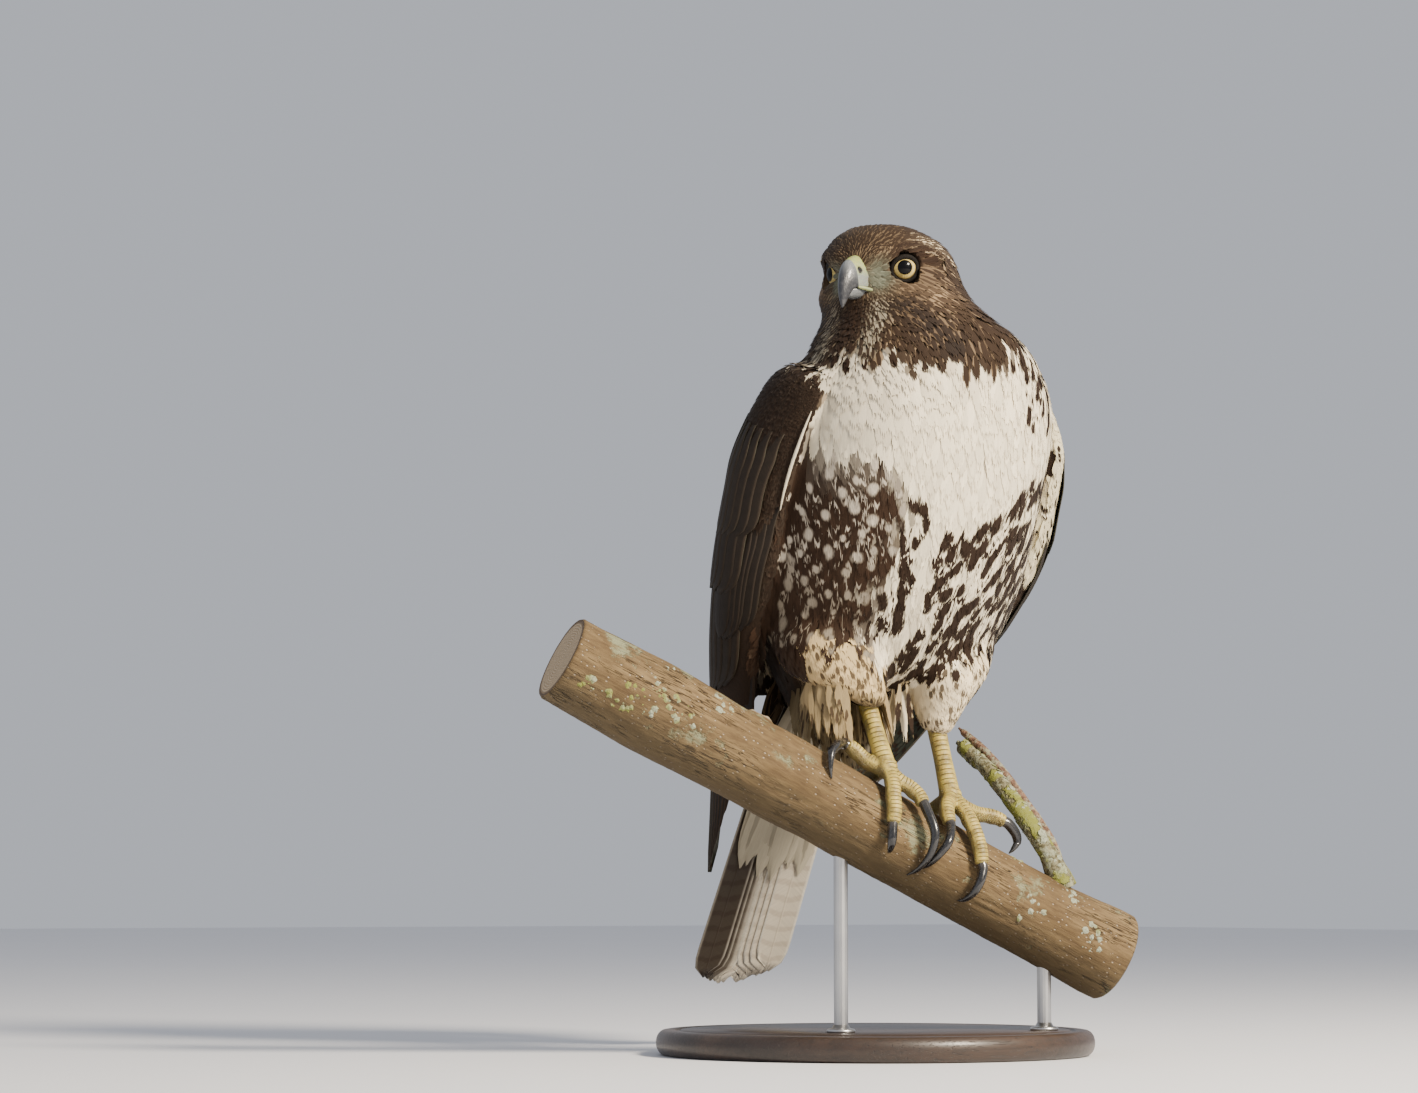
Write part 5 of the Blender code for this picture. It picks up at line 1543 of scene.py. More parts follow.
def scattered(spacing_mm):
    """Triangle indices and places of points about spacing_mm apart: random places on triangles, in number
    by area over spacing squared, thinned in random order so that none is nearer a kept one than 0.72 of
    its spacing."""
    corners = coat_mm[coat_triangles]
    area = np.linalg.norm(np.cross(corners[:, 1] - corners[:, 0], corners[:, 2] - corners[:, 0]), axis=1) / 2
    local = spacing_mm[coat_triangles].mean(axis=1)
    share = area / local**2
    picked = coat_random.choice(len(corners), int(TRIES * share.sum()), p=share / share.sum())
    a, b = np.sqrt(coat_random.random(len(picked))), coat_random.random(len(picked))
    weights = np.stack((1 - a, a * (1 - b), a * b), axis=-1)
    spots = (corners[picked] * weights[..., None]).sum(axis=1)
    reach = KEPT_GAP * local[picked]
    kept, cells = [], {}
    keys = np.floor(spots / CELL_MM).astype(int)
    for index, (key, spot, gap) in enumerate(zip(map(tuple, keys), spots.tolist(), reach.tolist())):
        x, y, z = spot
        free = True
        for dx in (-1, 0, 1):
            for dy in (-1, 0, 1):
                for dz in (-1, 0, 1):
                    for ox, oy, oz in cells.get((key[0] + dx, key[1] + dy, key[2] + dz), ()):
                        if (ox - x) ** 2 + (oy - y) ** 2 + (oz - z) ** 2 < gap * gap:
                            free = False
                            break
                    if not free:
                        break
                if not free:
                    break
            if not free:
                break
        if free:
            kept.append(index)
            cells.setdefault(key, []).append((x, y, z))
    return picked[kept], spots[kept], weights[kept]


coat_tree = BVHTree.FromPolygons(coat_mm.tolist(), coat_triangles.tolist())


def traced(start, normal, heading, length):
    """Paths over the coat's surface: each step goes on along the heading, is drawn towards the nearest
    surface by at most 1.2 mm, and turns the heading into the surface there."""
    places, normals, headings = [start], [normal], [heading]
    step = (length / PATH_STEPS)[:, None]
    for _ in range(PATH_STEPS):
        ahead = places[-1] + headings[-1] * step
        found = [coat_tree.find_nearest(spot) for spot in ahead]
        nearest = np.array([hit[0] for hit in found])
        corner = coat_triangles[[hit[2] for hit in found]]
        over = unit(coat_normals[corner].sum(axis=1))
        pull = nearest - ahead
        far = np.linalg.norm(pull, axis=1)
        pull = pull * np.minimum(1, PULL_MM / np.maximum(far, 1e-9))[:, None]
        over = unit(over * np.exp(-far / 4)[:, None] + normals[-1] * (1.02 - np.exp(-far / 4))[:, None])
        onward = headings[-1] - (headings[-1] * over).sum(axis=1)[:, None] * over
        places.append(ahead + pull)
        normals.append(over)
        headings.append(unit(onward))
    return np.stack(places, axis=1), np.stack(normals, axis=1), np.stack(headings, axis=1)


def at_share(rows, share):
    """Rows of path values at shares from 0 to 1 of their length, with straight steps between them."""
    place = np.clip(share, 0, 1) * (rows.shape[1] - 1)
    low = np.minimum(place.astype(int), rows.shape[1] - 2)
    part = (place - low)[..., None]
    which = np.arange(len(rows)).reshape((-1,) + (1,) * (share.ndim - 1))
    return rows[which, low] * (1 - part) + rows[which, low + 1] * part


def vanes(paths, length, width, depth, columns, rows, pointed, random, rise=0.25, bend=0.16, roll=0.26):
    """Grids of points of many vanes: rows along and columns across, then one tooth beyond each column's
    end. The half width grows from a third at the root; the end falls back to the sides by a share of the
    across place to a power."""
    places, normals, headings = paths
    count = len(places)
    across = np.linspace(-1, 1, columns + 1)
    between = (across[1:] + across[:-1]) / 2
    power = 2.4 - 1.2 * pointed[:, None]
    fall = 0.30 + 0.35 * pointed[:, None]
    end = 1 - fall * np.abs(across)[None] ** power
    tooth_end = 1 - fall * np.abs(between)[None] ** power
    ragged = 1 + 0.10 * (random.random((count, columns)) - 0.5)
    body_rows = np.linspace(0, 0.86, rows)
    t = body_rows[None, :, None] * end[:, None, :] * (1 - 0.04 * random.random((count, rows, columns + 1)))
    a = np.broadcast_to(across, t.shape)
    tooth_t = (tooth_end * ragged)[:, None, :]
    t_all = np.concatenate((t.reshape(count, -1), tooth_t.reshape(count, -1)), axis=1)
    a_all = np.concatenate((a.reshape(count, -1), np.broadcast_to(between, (count, columns))), axis=1)
    half = width[:, None] / 2 * (0.34 + 0.66 * eased(t_all, 0.0, 0.6))
    spot, normal, heading = (at_share(part, t_all) for part in (places, normals, headings))
    normal, heading = unit(normal), unit(heading)
    side = np.cross(normal, heading)
    level = -depth[:, None] * (1 - t_all) ** 1.15 + rise * t_all**3 - bend * half * a_all**2
    points = spot + side * (a_all * half)[..., None] + normal * level[..., None]
    lit = unit(normal + side * (roll * a_all)[..., None] + heading * (0.4 * roll * t_all)[..., None])
    grid = np.arange(rows * (columns + 1)).reshape(rows, columns + 1)
    quads = np.stack((grid[:-1, :-1], grid[1:, :-1], grid[1:, 1:], grid[:-1, 1:]), axis=-1).reshape(-1, 4)
    teeth = np.stack((grid[-1, 1:], grid[-1, :-1], rows * (columns + 1) + np.arange(columns)), axis=-1)
    offset = (np.arange(count) * t_all.shape[1])[:, None, None]
    return points, lit, a_all, t_all, side, [
        (quads[None] + offset).reshape(-1, 4), (teeth[None] + offset).reshape(-1, 3)
    ]


root_triangle, root_mm, root_weights = scattered(sizes_mm(coat_facts)[2])
root_corner = coat_triangles[root_triangle]
root_normal = unit((coat_normals[root_corner] * root_weights[..., None]).sum(axis=1))
root_facts = facts(root_mm, coat_sample[root_corner[:, 0]], root_normal)
eye_off, eye_ahead = from_eye(root_facts["folded"])
cere_gap = near(root_facts["folded"], (38.0, 0.0, 2.0), (9.0, 9.5, 11.0))
bare = ((eye_off < 9.6) & (eye_ahead > 0)) | (cere_gap > 0.45)
wing_low = (root_facts["part"] == WING_RIGHT) | (root_facts["part"] == WING_LEFT)
wing_low &= root_facts["along"] > 3.4
keep = ~bare & ~wing_low
root_mm, root_normal = root_mm[keep], root_normal[keep]
root_facts = {key: value[keep] for key, value in root_facts.items()}
count = len(root_mm)
chance = coat_random.random(count)
waver = lumps(root_mm * MM, 0.011, 41) * 0.6 + (coat_random.random(count) - 0.5) * 0.8
length, width, _, depth = sizes_mm(root_facts)
length = length * (0.88 + 0.24 * coat_random.random(count))
width = width * (0.88 + 0.24 * coat_random.random(count))
heading = lie(root_facts)
swirl = 0.10 * (coat_random.random(count) - 0.5) * 2 + 0.16 * lumps(root_mm * MM, 0.018, 43)
heading = unit(heading + np.cross(root_normal, heading) * swirl[:, None])
# Feathers at the foot of the belly hang free of it over the branch, but not across the front of the right leg
hangs = (root_facts["part"] == BODY) | (root_facts["part"] == THIGH_RIGHT)
hangs &= (root_mm[:, 2] < 108) & (root_mm[:, 2] > 72) & (root_mm[:, 1] < 84) & (root_normal[:, 1] < 0.5)
hangs &= (root_normal[:, 2] < 0.35) & (np.abs(root_mm[:, 0] + 30) < 62) & (root_mm[:, 0] < 8)
beside_leg = np.abs(root_mm @ np.array((0.866, -0.5, 0.0)) + 28) < 17
hangs &= ~(beside_leg & (root_mm @ np.array((-0.5, -0.866, 0.0)) > -6))
length = np.where(hangs, 16 + 22 * coat_random.random(count), length)
width = np.where(hangs, 4.6 + 2.4 * coat_random.random(count), width)
heading = np.where(
    hangs[:, None], unit(np.stack((1.2 * swirl, np.full(count, -0.10), np.full(count, -1.0)), axis=-1)),
    heading
)
level_normal = unit(root_normal * np.array((1.0, 1.0, 0.0)) + np.array((0.0, -0.35, 0.12)))
paths = traced(root_mm, root_normal, heading, length)
straight = root_mm[:, None] + heading[:, None] * (
    length[:, None] * np.linspace(0, 1, PATH_STEPS + 1)
)[..., None]
held = hangs[:, None, None]
paths = (
    np.where(held, straight, paths[0]),
    np.where(held, level_normal[:, None], paths[1]),
    np.where(held, heading[:, None], paths[2]),
)
end_head = to_head(paths[0].reshape(-1, 3))
end_off, end_ahead = from_eye(one_sided(end_head))
clear_of_eye = ~((end_off < 9.4) & (end_ahead > 0)).reshape(count, -1).any(axis=1)
paths = tuple(part[clear_of_eye] for part in paths)
root_mm, root_normal, heading = root_mm[clear_of_eye], root_normal[clear_of_eye], heading[clear_of_eye]
root_facts = {key: value[clear_of_eye] for key, value in root_facts.items()}
chance, waver, length, width, depth = (row[clear_of_eye] for row in (chance, waver, length, width, depth))
count = len(root_mm)
ground, mark, strength, wide, middle, long, drop = markings(root_facts, chance, waver)

# Each drop of the band and of the bib's edge covers the tips of several vanes, so its middle is picked once
# and shared by them. By kind: gap between middles, half width and half length in millimetres, slant, and blur
DROP_KINDS = {
    BELLY_DROP: (8.9, 4.5, 7.6, 0.34, 0.12), FLANK_SPOT: (10.2, 2.9, 3.5, 0.0, 0.32),
    BIB_DROP: (9.4, 3.1, 6.8, 0.0, 0.14)
}
tip_mm = at_share(paths[0], np.full((count, 1), 0.74))[:, 0]
drop_rows = []
for kind, (gap, half_wide, half_long, slant, blur) in DROP_KINDS.items():
    taken = []
    for index in coat_random.permutation(np.where(drop == kind)[0]):
        spot = tip_mm[index]
        if kind == BIB_DROP and spot[2] < 300 and (spot[0] < 45 or coat_random.random() < 0.6):
            continue
        if all(np.dot(spot - other, spot - other) > gap * gap for other in taken):
            taken.append(spot)
            beside = np.cross(root_normal[index], heading[index])
            turn = slant * np.sign(spot[0] + 5) + 0.35 * (coat_random.random() - 0.5) * (kind == BELLY_DROP)
            along = heading[index] * math.cos(turn) - beside * math.sin(turn)
            across = beside * math.cos(turn) + heading[index] * math.sin(turn)
            size = 0.70 + 0.60 * coat_random.random()
            drop_rows.append((*spot, *along, *across, half_wide * size, half_long * size, kind))
drop_rows = np.array(drop_rows)
drop_trees = {}
for kind in DROP_KINDS:
    members = np.where(drop_rows[:, 11] == kind)[0]
    drop_trees[kind] = tree_of(drop_rows[members, :3], members)
root_blur = np.select([drop == kind for kind in DROP_KINDS], [row[4] for row in DROP_KINDS.values()], 0.15)

REGIONS = {
    "head_feathers": (root_facts["part"] == BODY) & (root_facts["bill"] < 62),
    "neck_feathers": (root_facts["part"] == BODY) & (root_facts["bill"] >= 62) & (root_mm[:, 2] > 296),
    "breast_feathers": (root_facts["part"] == BODY) & (root_mm[:, 2] <= 296) & (root_mm[:, 2] > 200)
    & (root_normal[:, 1] < 0.25),
    "belly_feathers": (root_facts["part"] == BODY) & (root_mm[:, 2] <= 200) & (root_normal[:, 1] < 0.25),
    "back_feathers": (root_facts["part"] == BODY) & (root_mm[:, 2] <= 296) & (root_normal[:, 1] >= 0.25),
    "wing_feathers_right": root_facts["part"] == WING_RIGHT,
    "wing_feathers_left": root_facts["part"] == WING_LEFT,
    "thigh_feathers_right": root_facts["part"] == THIGH_RIGHT,
    "thigh_feathers_left": root_facts["part"] == THIGH_LEFT,
}
VANE_SHAPES = {
    "head_feathers": (4, 3), "neck_feathers": (6, 4), "breast_feathers": (8, 5), "belly_feathers": (8, 5),
    "back_feathers": (8, 5), "wing_feathers_right": (8, 4), "wing_feathers_left": (8, 4),
    "thigh_feathers_right": (6, 4), "thigh_feathers_left": (6, 4),
}
SLOTS = {"head": "plumage_dark", "neck": "plumage_dark", "back": "plumage_dark", "wing": "plumage_dark"}
for name, members in REGIONS.items():
    columns, rows = VANE_SHAPES[name]
    pick = np.where(members)[0]
    local_paths = tuple(part[pick] for part in paths)
    pointed = np.clip(0.75 * eased(root_facts["bill"][pick], 20, 60) * (root_mm[pick, 2] > 300), 0, 1)
    soft = name in ("breast_feathers", "belly_feathers", "thigh_feathers_right", "thigh_feathers_left")
    points, lit, a, t, side, faces = vanes(
        local_paths, length[pick], width[pick], depth[pick], columns, rows, np.maximum(pointed, 0.6 * soft),
        coat_random,
        rise=0.03 if soft else 0.25, bend=0.06 if soft else 0.14, roll=0.08 if soft else 0.24,
    )
    made = piece(
        name, grip_mm(points.reshape(-1, 3)), faces, plumage_paint,
        SLOTS.get(name.split("_")[0], "plumage_pale")
    )
    made.data.normals_split_custom_set_from_vertices(lit.reshape(-1, 3))
    each = a.shape[1]
    on_vane_x = np.abs(a) / wide[pick, None]
    on_vane_y = (t - middle[pick, None]) / long[pick, None]
    tip_spot = at_share(local_paths[0], np.full((len(pick), 1), 0.72))[:, 0]
    ragged = np.stack([lumps(points, 4.5, 51 + axis) for axis in range(3)], axis=-1) * 1.5
    drop_x, drop_y = np.full(a.shape, 9.0), np.full(a.shape, 9.0)
    for kind, tree in drop_trees.items():
        own = np.where(drop[pick] == kind)[0]
        if not len(own):
            continue
        closest = [[found[1] for found in tree.find_n(tip_spot[index], 3)] for index in own]
        closest = np.array([row + row[:1] * (3 - len(row)) for row in closest])
        best = np.full((len(own), each), np.inf)
        for choice in closest.T:
            middle_mm, along, across = drop_rows[choice, :3], drop_rows[choice, 3:6], drop_rows[choice, 6:9]
            off = points[own] + ragged[own] - middle_mm[:, None]
            x_share = (off * across[:, None]).sum(axis=-1) / drop_rows[choice, 9][:, None]
            y_share = (off * along[:, None]).sum(axis=-1) / drop_rows[choice, 10][:, None]
            if kind != FLANK_SPOT:
                x_share = x_share * (1.25 - 0.40 * np.clip(y_share, -1.2, 1))
            closer = np.hypot(x_share, y_share) < best
            best = np.where(closer, np.hypot(x_share, y_share), best)
            drop_x[own] = np.where(closer, x_share, drop_x[own])
            drop_y[own] = np.where(closer, y_share, drop_y[own])
    use_drop = drop[pick, None] > 0
    figure = np.stack((
        np.where(use_drop, drop_x, on_vane_x),
        np.where(use_drop, drop_y, on_vane_y),
        np.broadcast_to(strength[pick, None], a.shape),
    ), axis=-1)
    ones = np.ones((len(pick) * each, 1))
    vary = (0.86 + 0.26 * coat_random.random(len(pick)))[:, None]
    attach(made, "ground", np.concatenate((np.repeat(ground[pick] * vary, each, axis=0), ones), axis=1))
    attach(made, "mark", np.concatenate((np.repeat(mark[pick], each, axis=0), ones), axis=1))
    attach(made, "figure", figure.reshape(-1, 3))
    attach(made, "blur", np.repeat(root_blur[pick], each))
    half_mm = width[pick, None] / 2
    seed_place = coat_random.random(len(pick))[:, None] * 400
    barbs = np.stack((
        a * half_mm * 1.25,
        t * length[pick, None] * 0.16 - np.abs(a) * half_mm * 0.10,
        np.broadcast_to(seed_place, a.shape),
    ), axis=-1)
    attach(made, "barbs", barbs.reshape(-1, 3))
    kind = root_facts["part"][pick]
    on_part = np.where(
        kind == BODY, root_facts["along"][pick] / 12,
        root_facts["along"][pick] / np.where(kind <= WING_LEFT, 5, 1)
    )
    round_part = np.where(
        (kind == WING_RIGHT) | (kind == WING_LEFT), root_facts["turn"][pick],
        root_facts["turn"][pick] / (2 * math.pi)
    )
    patch = np.stack((
        0.01 + 0.98 * np.clip(round_part, 0, 1)[:, None] + 0.0015 * a,
        0.01 + 0.98 * np.clip(on_part, 0, 1)[:, None] + 0.003 * (t - 0.5),
    ), axis=-1)
    chart(made, "OFBake", patch.reshape(-1, 2))

# Wings
# The long feathers of the folded wings, each a stiff vane on a shaft: covers over the arm, twelve secondaries
# with three broad inner ones, and ten primaries whose tips cross below the branch. They lie on one another
# like shingles.

# Groups from the lowest layer up. Each feather's root and tip are places along and across the wing, and its
# width, the height of its layer over the skin and its paleness follow; the counts run from the front edge to
# the back
WING_GROUPS = {
    "primaries": (10, (3.3, 0.10), (3.1, 0.62), (6.05, 0.04), (6.97, 0.62), (19, 24), (-3.4, -0.6), 0.0),
    "secondaries": (12, (2.5, 0.16), (2.0, 0.90), (4.75, 0.22), (5.1, 0.86), (24, 33), (-0.4, 1.8), 0.25),
    "inner secondaries": (3, (2.2, 0.74), (1.9, 0.92), (4.95, 0.72), (4.6, 0.93), (36, 40), (1.8, 2.6), 0.4),
    "primary covers": (6, (2.2, 0.03), (2.3, 0.20), (3.9, 0.07), (4.1, 0.24), (13, 16), (0.6, 1.4), 0.1),
    "great covers": (12, (1.7, 0.16), (1.3, 0.90), (3.45, 0.22), (3.3, 0.86), (21, 29), (1.6, 2.7), 0.35),
    "middle covers": (14, (1.0, 0.10), (0.7, 0.92), (2.62, 0.14), (2.45, 0.90), (18, 25), (1.9, 3.0), 0.5),
}
VANE_ROWS, VANE_COLUMNS = 18, 11
VANE_THICK_MM = 0.5


def flight_finish():
    """Barbs slant from the shaft to the edge. Colour goes by the paleness of the feather's own kind: dark
    brown with faint darker bars and a paler rim on top, grey with clearer bars below, and a horn coloured
    shaft."""
    vane = Finish("flight_feathers", Roughness=0.6, Specular_IOR_Level=0.22)
    place = vane.node("Attribute", {"attribute_name": "vane"}, output="Vector")
    tone = vane.node("Attribute", {"attribute_name": "tone"}, output="Color")
    bar = vane.node("Attribute", {"attribute_name": "bar"}, output="Color")
    rim = vane.node("Attribute", {"attribute_name": "rim"}, output="Color")
    across = vane.node("SeparateXYZ", None, {0: place}, output=0)
    along = vane.node("SeparateXYZ", None, {0: place}, output=1)
    chance = vane.node("SeparateXYZ", None, {0: place}, output=2)
    off = across.math("ABSOLUTE", across)
    slant = vane.node("CombineXYZ", None, {0: (along - off * 9.0) * 1.5, 1: across * 0.8, 2: chance * 90})
    barbs = vane.noise(slant, 1.0, 3.0, 0.6)
    wave = vane.noise(
        vane.node("CombineXYZ", None, {0: along * 0.12, 1: across * 1.6, 2: chance * 70}), 1.0, 3.0
    )
    phase = (along + off * 2.2 + wave * 5.0 + chance * 6.0) * (2 * math.pi / 11.5)
    bars = phase.math("SINE", phase).within(0.15, 0.85)
    colour = vane.mix(bars, tone, bar)
    colour = vane.mix(off.within(0.80, 0.99) * (0.4 + wave * 0.8), colour, rim)
    colour = vane.mix(1 - off.within(0.018, 0.042), colour, vane.tint(bar, 1.15))
    colour = vane.tint(colour, 0.72 + barbs * 0.56)
    height = barbs * 0.5 - off.within(0.03, 0.06)
    return vane.paint(Base_Color=colour, Normal=vane.bump(height, 0.0005, 0.6))


def vane_grid(count, rows=VANE_ROWS, columns=VANE_COLUMNS):
    """Places along (0 to 1) and across (-1 to 1) a feather, repeated for each of a number of feathers."""
    t, a = np.meshgrid(np.linspace(0, 1, rows), np.linspace(-1, 1, columns), indexing="ij")
    return np.broadcast_to(t, (count, rows, columns)), np.broadcast_to(a, (count, rows, columns))


def vane_half(t, width, point=0.72):
    """Half width along a feather: narrow at the root, full from a third on, and closed at the tip as a
    circle does."""
    shut = np.clip((t - point) / (1 - point), 0, 1)
    return width / 2 * (0.35 + 0.65 * eased(t, 0.0, 0.35)) * np.sqrt(np.clip(1 - 0.985 * shut**2.4, 0.02, 1))


def vane_solids(name, upper, normal, material, slot, replaced, looks, turned_over):
    """Closed thin vanes from grids of their upper faces: the lower faces lie a thickness below them. looks
    holds the attributes for each point of the grids, and the lower faces may have their own tone and bars."""
    count, rows, columns = upper.shape[:3]
    lower = upper - normal * (VANE_THICK_MM * MM)
    each = 2 * rows * columns
    points = np.concatenate((upper.reshape(count, -1, 3), lower.reshape(count, -1, 3)), axis=1)
    _, faces = two_faced(upper[0], lower[0])
    if turned_over:
        faces = [block[:, ::-1] for block in faces]
    start = (np.arange(count) * each)[:, None, None]
    made = piece(
        name, points.reshape(-1, 3), [(block[None] + start).reshape(-1, 4) for block in faces], material,
        slot, replaced
    )
    for key, (above, below) in looks.items():
        both = np.concatenate(
            (above.reshape(count, rows * columns, -1), below.reshape(count, rows * columns, -1)), axis=1
        )
        attach(made, key, both.reshape(count * each, -1))
    return made


def coloured(rows, shape):
    """A colour for each feather spread over its grid, as four numbers."""
    rows = np.concatenate((rows, np.ones((len(rows), 1))), axis=1)
    return np.broadcast_to(rows[:, None, None], (*shape, 4))


def bake_patch(made, centre, size, count, rows, columns):
    """UV places: each feather's upper and lower face fill a small rectangle round the place of its root."""
    t, a = vane_grid(count, rows, columns)
    over = centre[:, None, None] + np.stack((a * 0.5 * size, (t - 0.5) * size), axis=-1)
    both = np.concatenate((over.reshape(count, -1, 2), over.reshape(count, -1, 2)), axis=1)
    chart(made, "OFBake", both.reshape(-1, 2))


flight_paint = flight_finish()
wing_random = np.random.default_rng(11)
for side in ("right", "left"):
    for number, (group, values) in enumerate(WING_GROUPS.items()):
        count, front_root, back_root, front_tip, back_tip, widths, layers, paleness = values
        order = np.linspace(0, 1, count)
        root = np.array(front_root) + order[:, None] * (np.array(back_root) - np.array(front_root))
        tip = np.array(front_tip) + order[:, None] * (np.array(back_tip) - np.array(front_tip))
        if group == "primaries":
            tip[:, 0] = 5.7 + 1.27 * np.sin(np.clip(order * 1.9 + 0.2, 0, math.pi / 2))
        tip[:, 0] += 0.08 * (wing_random.random(count) - 0.5) * (group != "primaries")
        tip[:, 1] += 0.02 * (wing_random.random(count) - 0.5)
        t, a = vane_grid(count)
        width = (widths[0] + order * (widths[1] - widths[0]))[:, None, None]
        u = root[:, 0, None, None] + t * (tip - root)[:, 0, None, None]
        v_middle = root[:, 1, None, None] + t * (tip - root)[:, 1, None, None] + 0.03 * np.sin(math.pi * t)
        place = to_left if side == "left" else np.asarray
        span = np.linalg.norm(
            wing_sheet(u, np.clip(v_middle + 0.05, 0, 1)) - wing_sheet(u, np.clip(v_middle - 0.05, 0, 1)),
            axis=-1
        )
        per_mm = 0.1 / np.maximum(span, 2.5)
        half = vane_half(t, width, 0.62 if group == "primaries" else 0.74)
        half = np.minimum(half, 0.62 / per_mm / 2)
        v = v_middle + a * half * per_mm
        at, out, down, across = wing_faces(side, u, v)
        low = layers[0] + order * (layers[1] - layers[0])
        sunk = 1 - eased(t, 0.0, 0.45)
        level = low[:, None, None] - 2.6 * sunk - 0.8 * a - 0.5 * a**2 + 0.2
        level = level - 1.2 * eased(np.abs(v - 0.5), 0.40, 0.56)
        upper = grip_mm(at + out * level[..., None])
        shape = u.shape
        pale = paleness * (0.6 + 0.8 * wing_random.random(count))
        # The upper faces' dark brown, darkened further as painted shade.
        tone = blend(np.tile(EARTH * 0.62, (count, 1)), BUFF * 0.28, pale * 0.26)
        bar = tone * 0.72
        rim = blend(np.tile(EARTH * 1.0, (count, 1)), BUFF * 0.18, pale * 0.4)
        if group == "primaries":
            tone, rim = np.tile(SOOT * 1.25, (count, 1)), np.tile(UMBER * 1.1, (count, 1))
            bar = np.tile(SOOT * 0.8, (count, 1))
        under_tone = np.tile(PALE_GREY * 0.62, (count, 1))
        under_bar = np.tile(UMBER * 1.6, (count, 1))
        length = np.linalg.norm(np.diff(upper[:, :, VANE_COLUMNS // 2], axis=1), axis=-1).sum(axis=1) / MM
        chance = np.broadcast_to(wing_random.random(count)[:, None, None], shape)
        vane_place = np.stack((a, t * length[:, None, None], chance), axis=-1)
        looks = {
            "vane": (vane_place, vane_place),
            "tone": (coloured(tone * 0.8, shape), coloured(under_tone, shape)),
            "bar": (coloured(bar, shape), coloured(under_bar, shape)),
            "rim": (coloured(rim, shape), coloured(under_tone, shape)),
        }
        made = vane_solids(
            f"{group.replace(' ', '_')}_{side}", upper, out, flight_paint, "plumage_dark",
            [f"primaries_{side}"] if group == "primaries" else [], looks, side == "left",
        )
        middle = np.stack((0.05 + 0.9 * np.linspace(0, 1, count), np.full(count, 0.5)), axis=-1)
        bake_patch(made, middle, 0.8 / count, count, VANE_ROWS, VANE_COLUMNS)

# The thin pale line along the right wing's front edge, where cream feathers lie folded under the dark ones
edge_u = np.linspace(0.62, 2.25, 60)
edge_at, edge_out, _, _ = wing_faces("right", edge_u, np.full(60, 0.012))
edge_radius = 0.95 * np.sin(np.linspace(0.05, math.pi - 0.05, 60)) ** 0.5
edge_radius = edge_radius[:, None] * (1 + 0.25 * np.random.default_rng(3).random((60, 8))) * MM
edge_line = piece(
    "pale_edge_right",
    *capped(swept(grip_mm(edge_at - edge_out * 1.2), np.array((0.0, -1.0, 0.0)), edge_radius)),
    plumage_paint, "plumage_pale",
)
edge_points = len(edge_line.data.vertices)
attach(edge_line, "ground", np.tile((*(CREAM * 0.9), 1.0), (edge_points, 1)))
attach(edge_line, "mark", np.tile((*(CREAM * 0.9), 1.0), (edge_points, 1)))
attach(edge_line, "figure", np.tile((3.0, 3.0, 0.0), (edge_points, 1)))
attach(edge_line, "barbs", np.random.default_rng(4).random((edge_points, 3)) * 2)
attach(edge_line, "blur", np.full(edge_points, 0.15))

# Tail
# Twelve tail feathers closed like a hand fan: the middle pair lies on top and the outermost pair lowest. A
# young bird's tail is barred brown above and pale grey buff with fainter bars below. Soft coverts hide the
# roots.

TAIL_ROOT_MM, TAIL_TIP_MM = np.array((-3.0, 108.0, 112.0)), np.array((-9.0, 206.0, -68.0))
# From the bird's right outermost feather to its left one: length, and how dark the under face is painted:
# on the bird's right outer feathers partly their darker brown, partly painted shadow
TAIL_LENGTHS_MM = (221, 222.5, 224, 225, 227, 226.5, 226, 224, 221, 219.5, 218, 215)
TAIL_UNDER_DARK_AND_SHADOW = (1.0, 1.0, 0.9, 0.25, 0.0, 0.0, 0.0, 0.0, 0.05, 0.05, 0.0, 0.0)

tail_down = (TAIL_TIP_MM - TAIL_ROOT_MM) / np.linalg.norm(TAIL_TIP_MM - TAIL_ROOT_MM)
tail_across = np.array((1.0, 0.0, 0.0)) - tail_down[0] * tail_down
tail_across /= np.linalg.norm(tail_across)
tail_upper = np.cross(tail_across, tail_down)
tail_upper *= np.sign(tail_upper[1])


def tail_place(reach_mm, aside_mm, level_mm):
    """A place on the tail from the distance down it, the distance aside and the height over its middle
    face, which arches by 4.5 mm at the root and 1.5 at the tip over a half width of 30 mm that grows by 8."""
    t = np.clip(reach_mm / 227.0, 0, 1)
    w = aside_mm / (30 + 8 * t**0.6)
    level = level_mm + (4.5 - 3 * t) * (1 - np.clip(w, -1, 1) ** 2)
    return TAIL_ROOT_MM + (
        reach_mm[..., None] * tail_down + aside_mm[..., None] * tail_across + level[..., None] * tail_upper
    )


tail_count = 12
TAIL_ROWS, TAIL_COLUMNS = 30, 13
rank = np.abs(np.arange(tail_count) - 5.5) - 0.5
way = np.sign(np.arange(tail_count) - 5.5)
t, a = vane_grid(tail_count, TAIL_ROWS, TAIL_COLUMNS)
lengths = np.array(TAIL_LENGTHS_MM)[:, None, None]
spread = (way * (0.10 + 0.52 * rank / 5))[:, None, None]
tail_width = (25.0 + 3.0 * t) * (1 - 0.03 * rank[:, None, None])
half = vane_half(t, tail_width, 0.90)
aside = spread * (30 + 8 * t**0.6) + a * half
level = (1.4 - 0.62 * rank)[:, None, None] - 0.35 * a * way[:, None, None] - 0.3 * a**2
end_wave = 1.4 * np.random.default_rng(5).random((tail_count, 1, TAIL_COLUMNS))
reach = t * lengths - end_wave * t**30 - 3.0 * t**12 * (a * way[:, None, None] < 0) * np.abs(a)
tail_points = tail_place(reach, aside, level)
tail_normal = np.broadcast_to(tail_upper, tail_points.shape)
shape = t.shape
under_dark_and_shadow = np.array(TAIL_UNDER_DARK_AND_SHADOW)
top_tone = np.tile(BUFF * 0.42, (tail_count, 1))
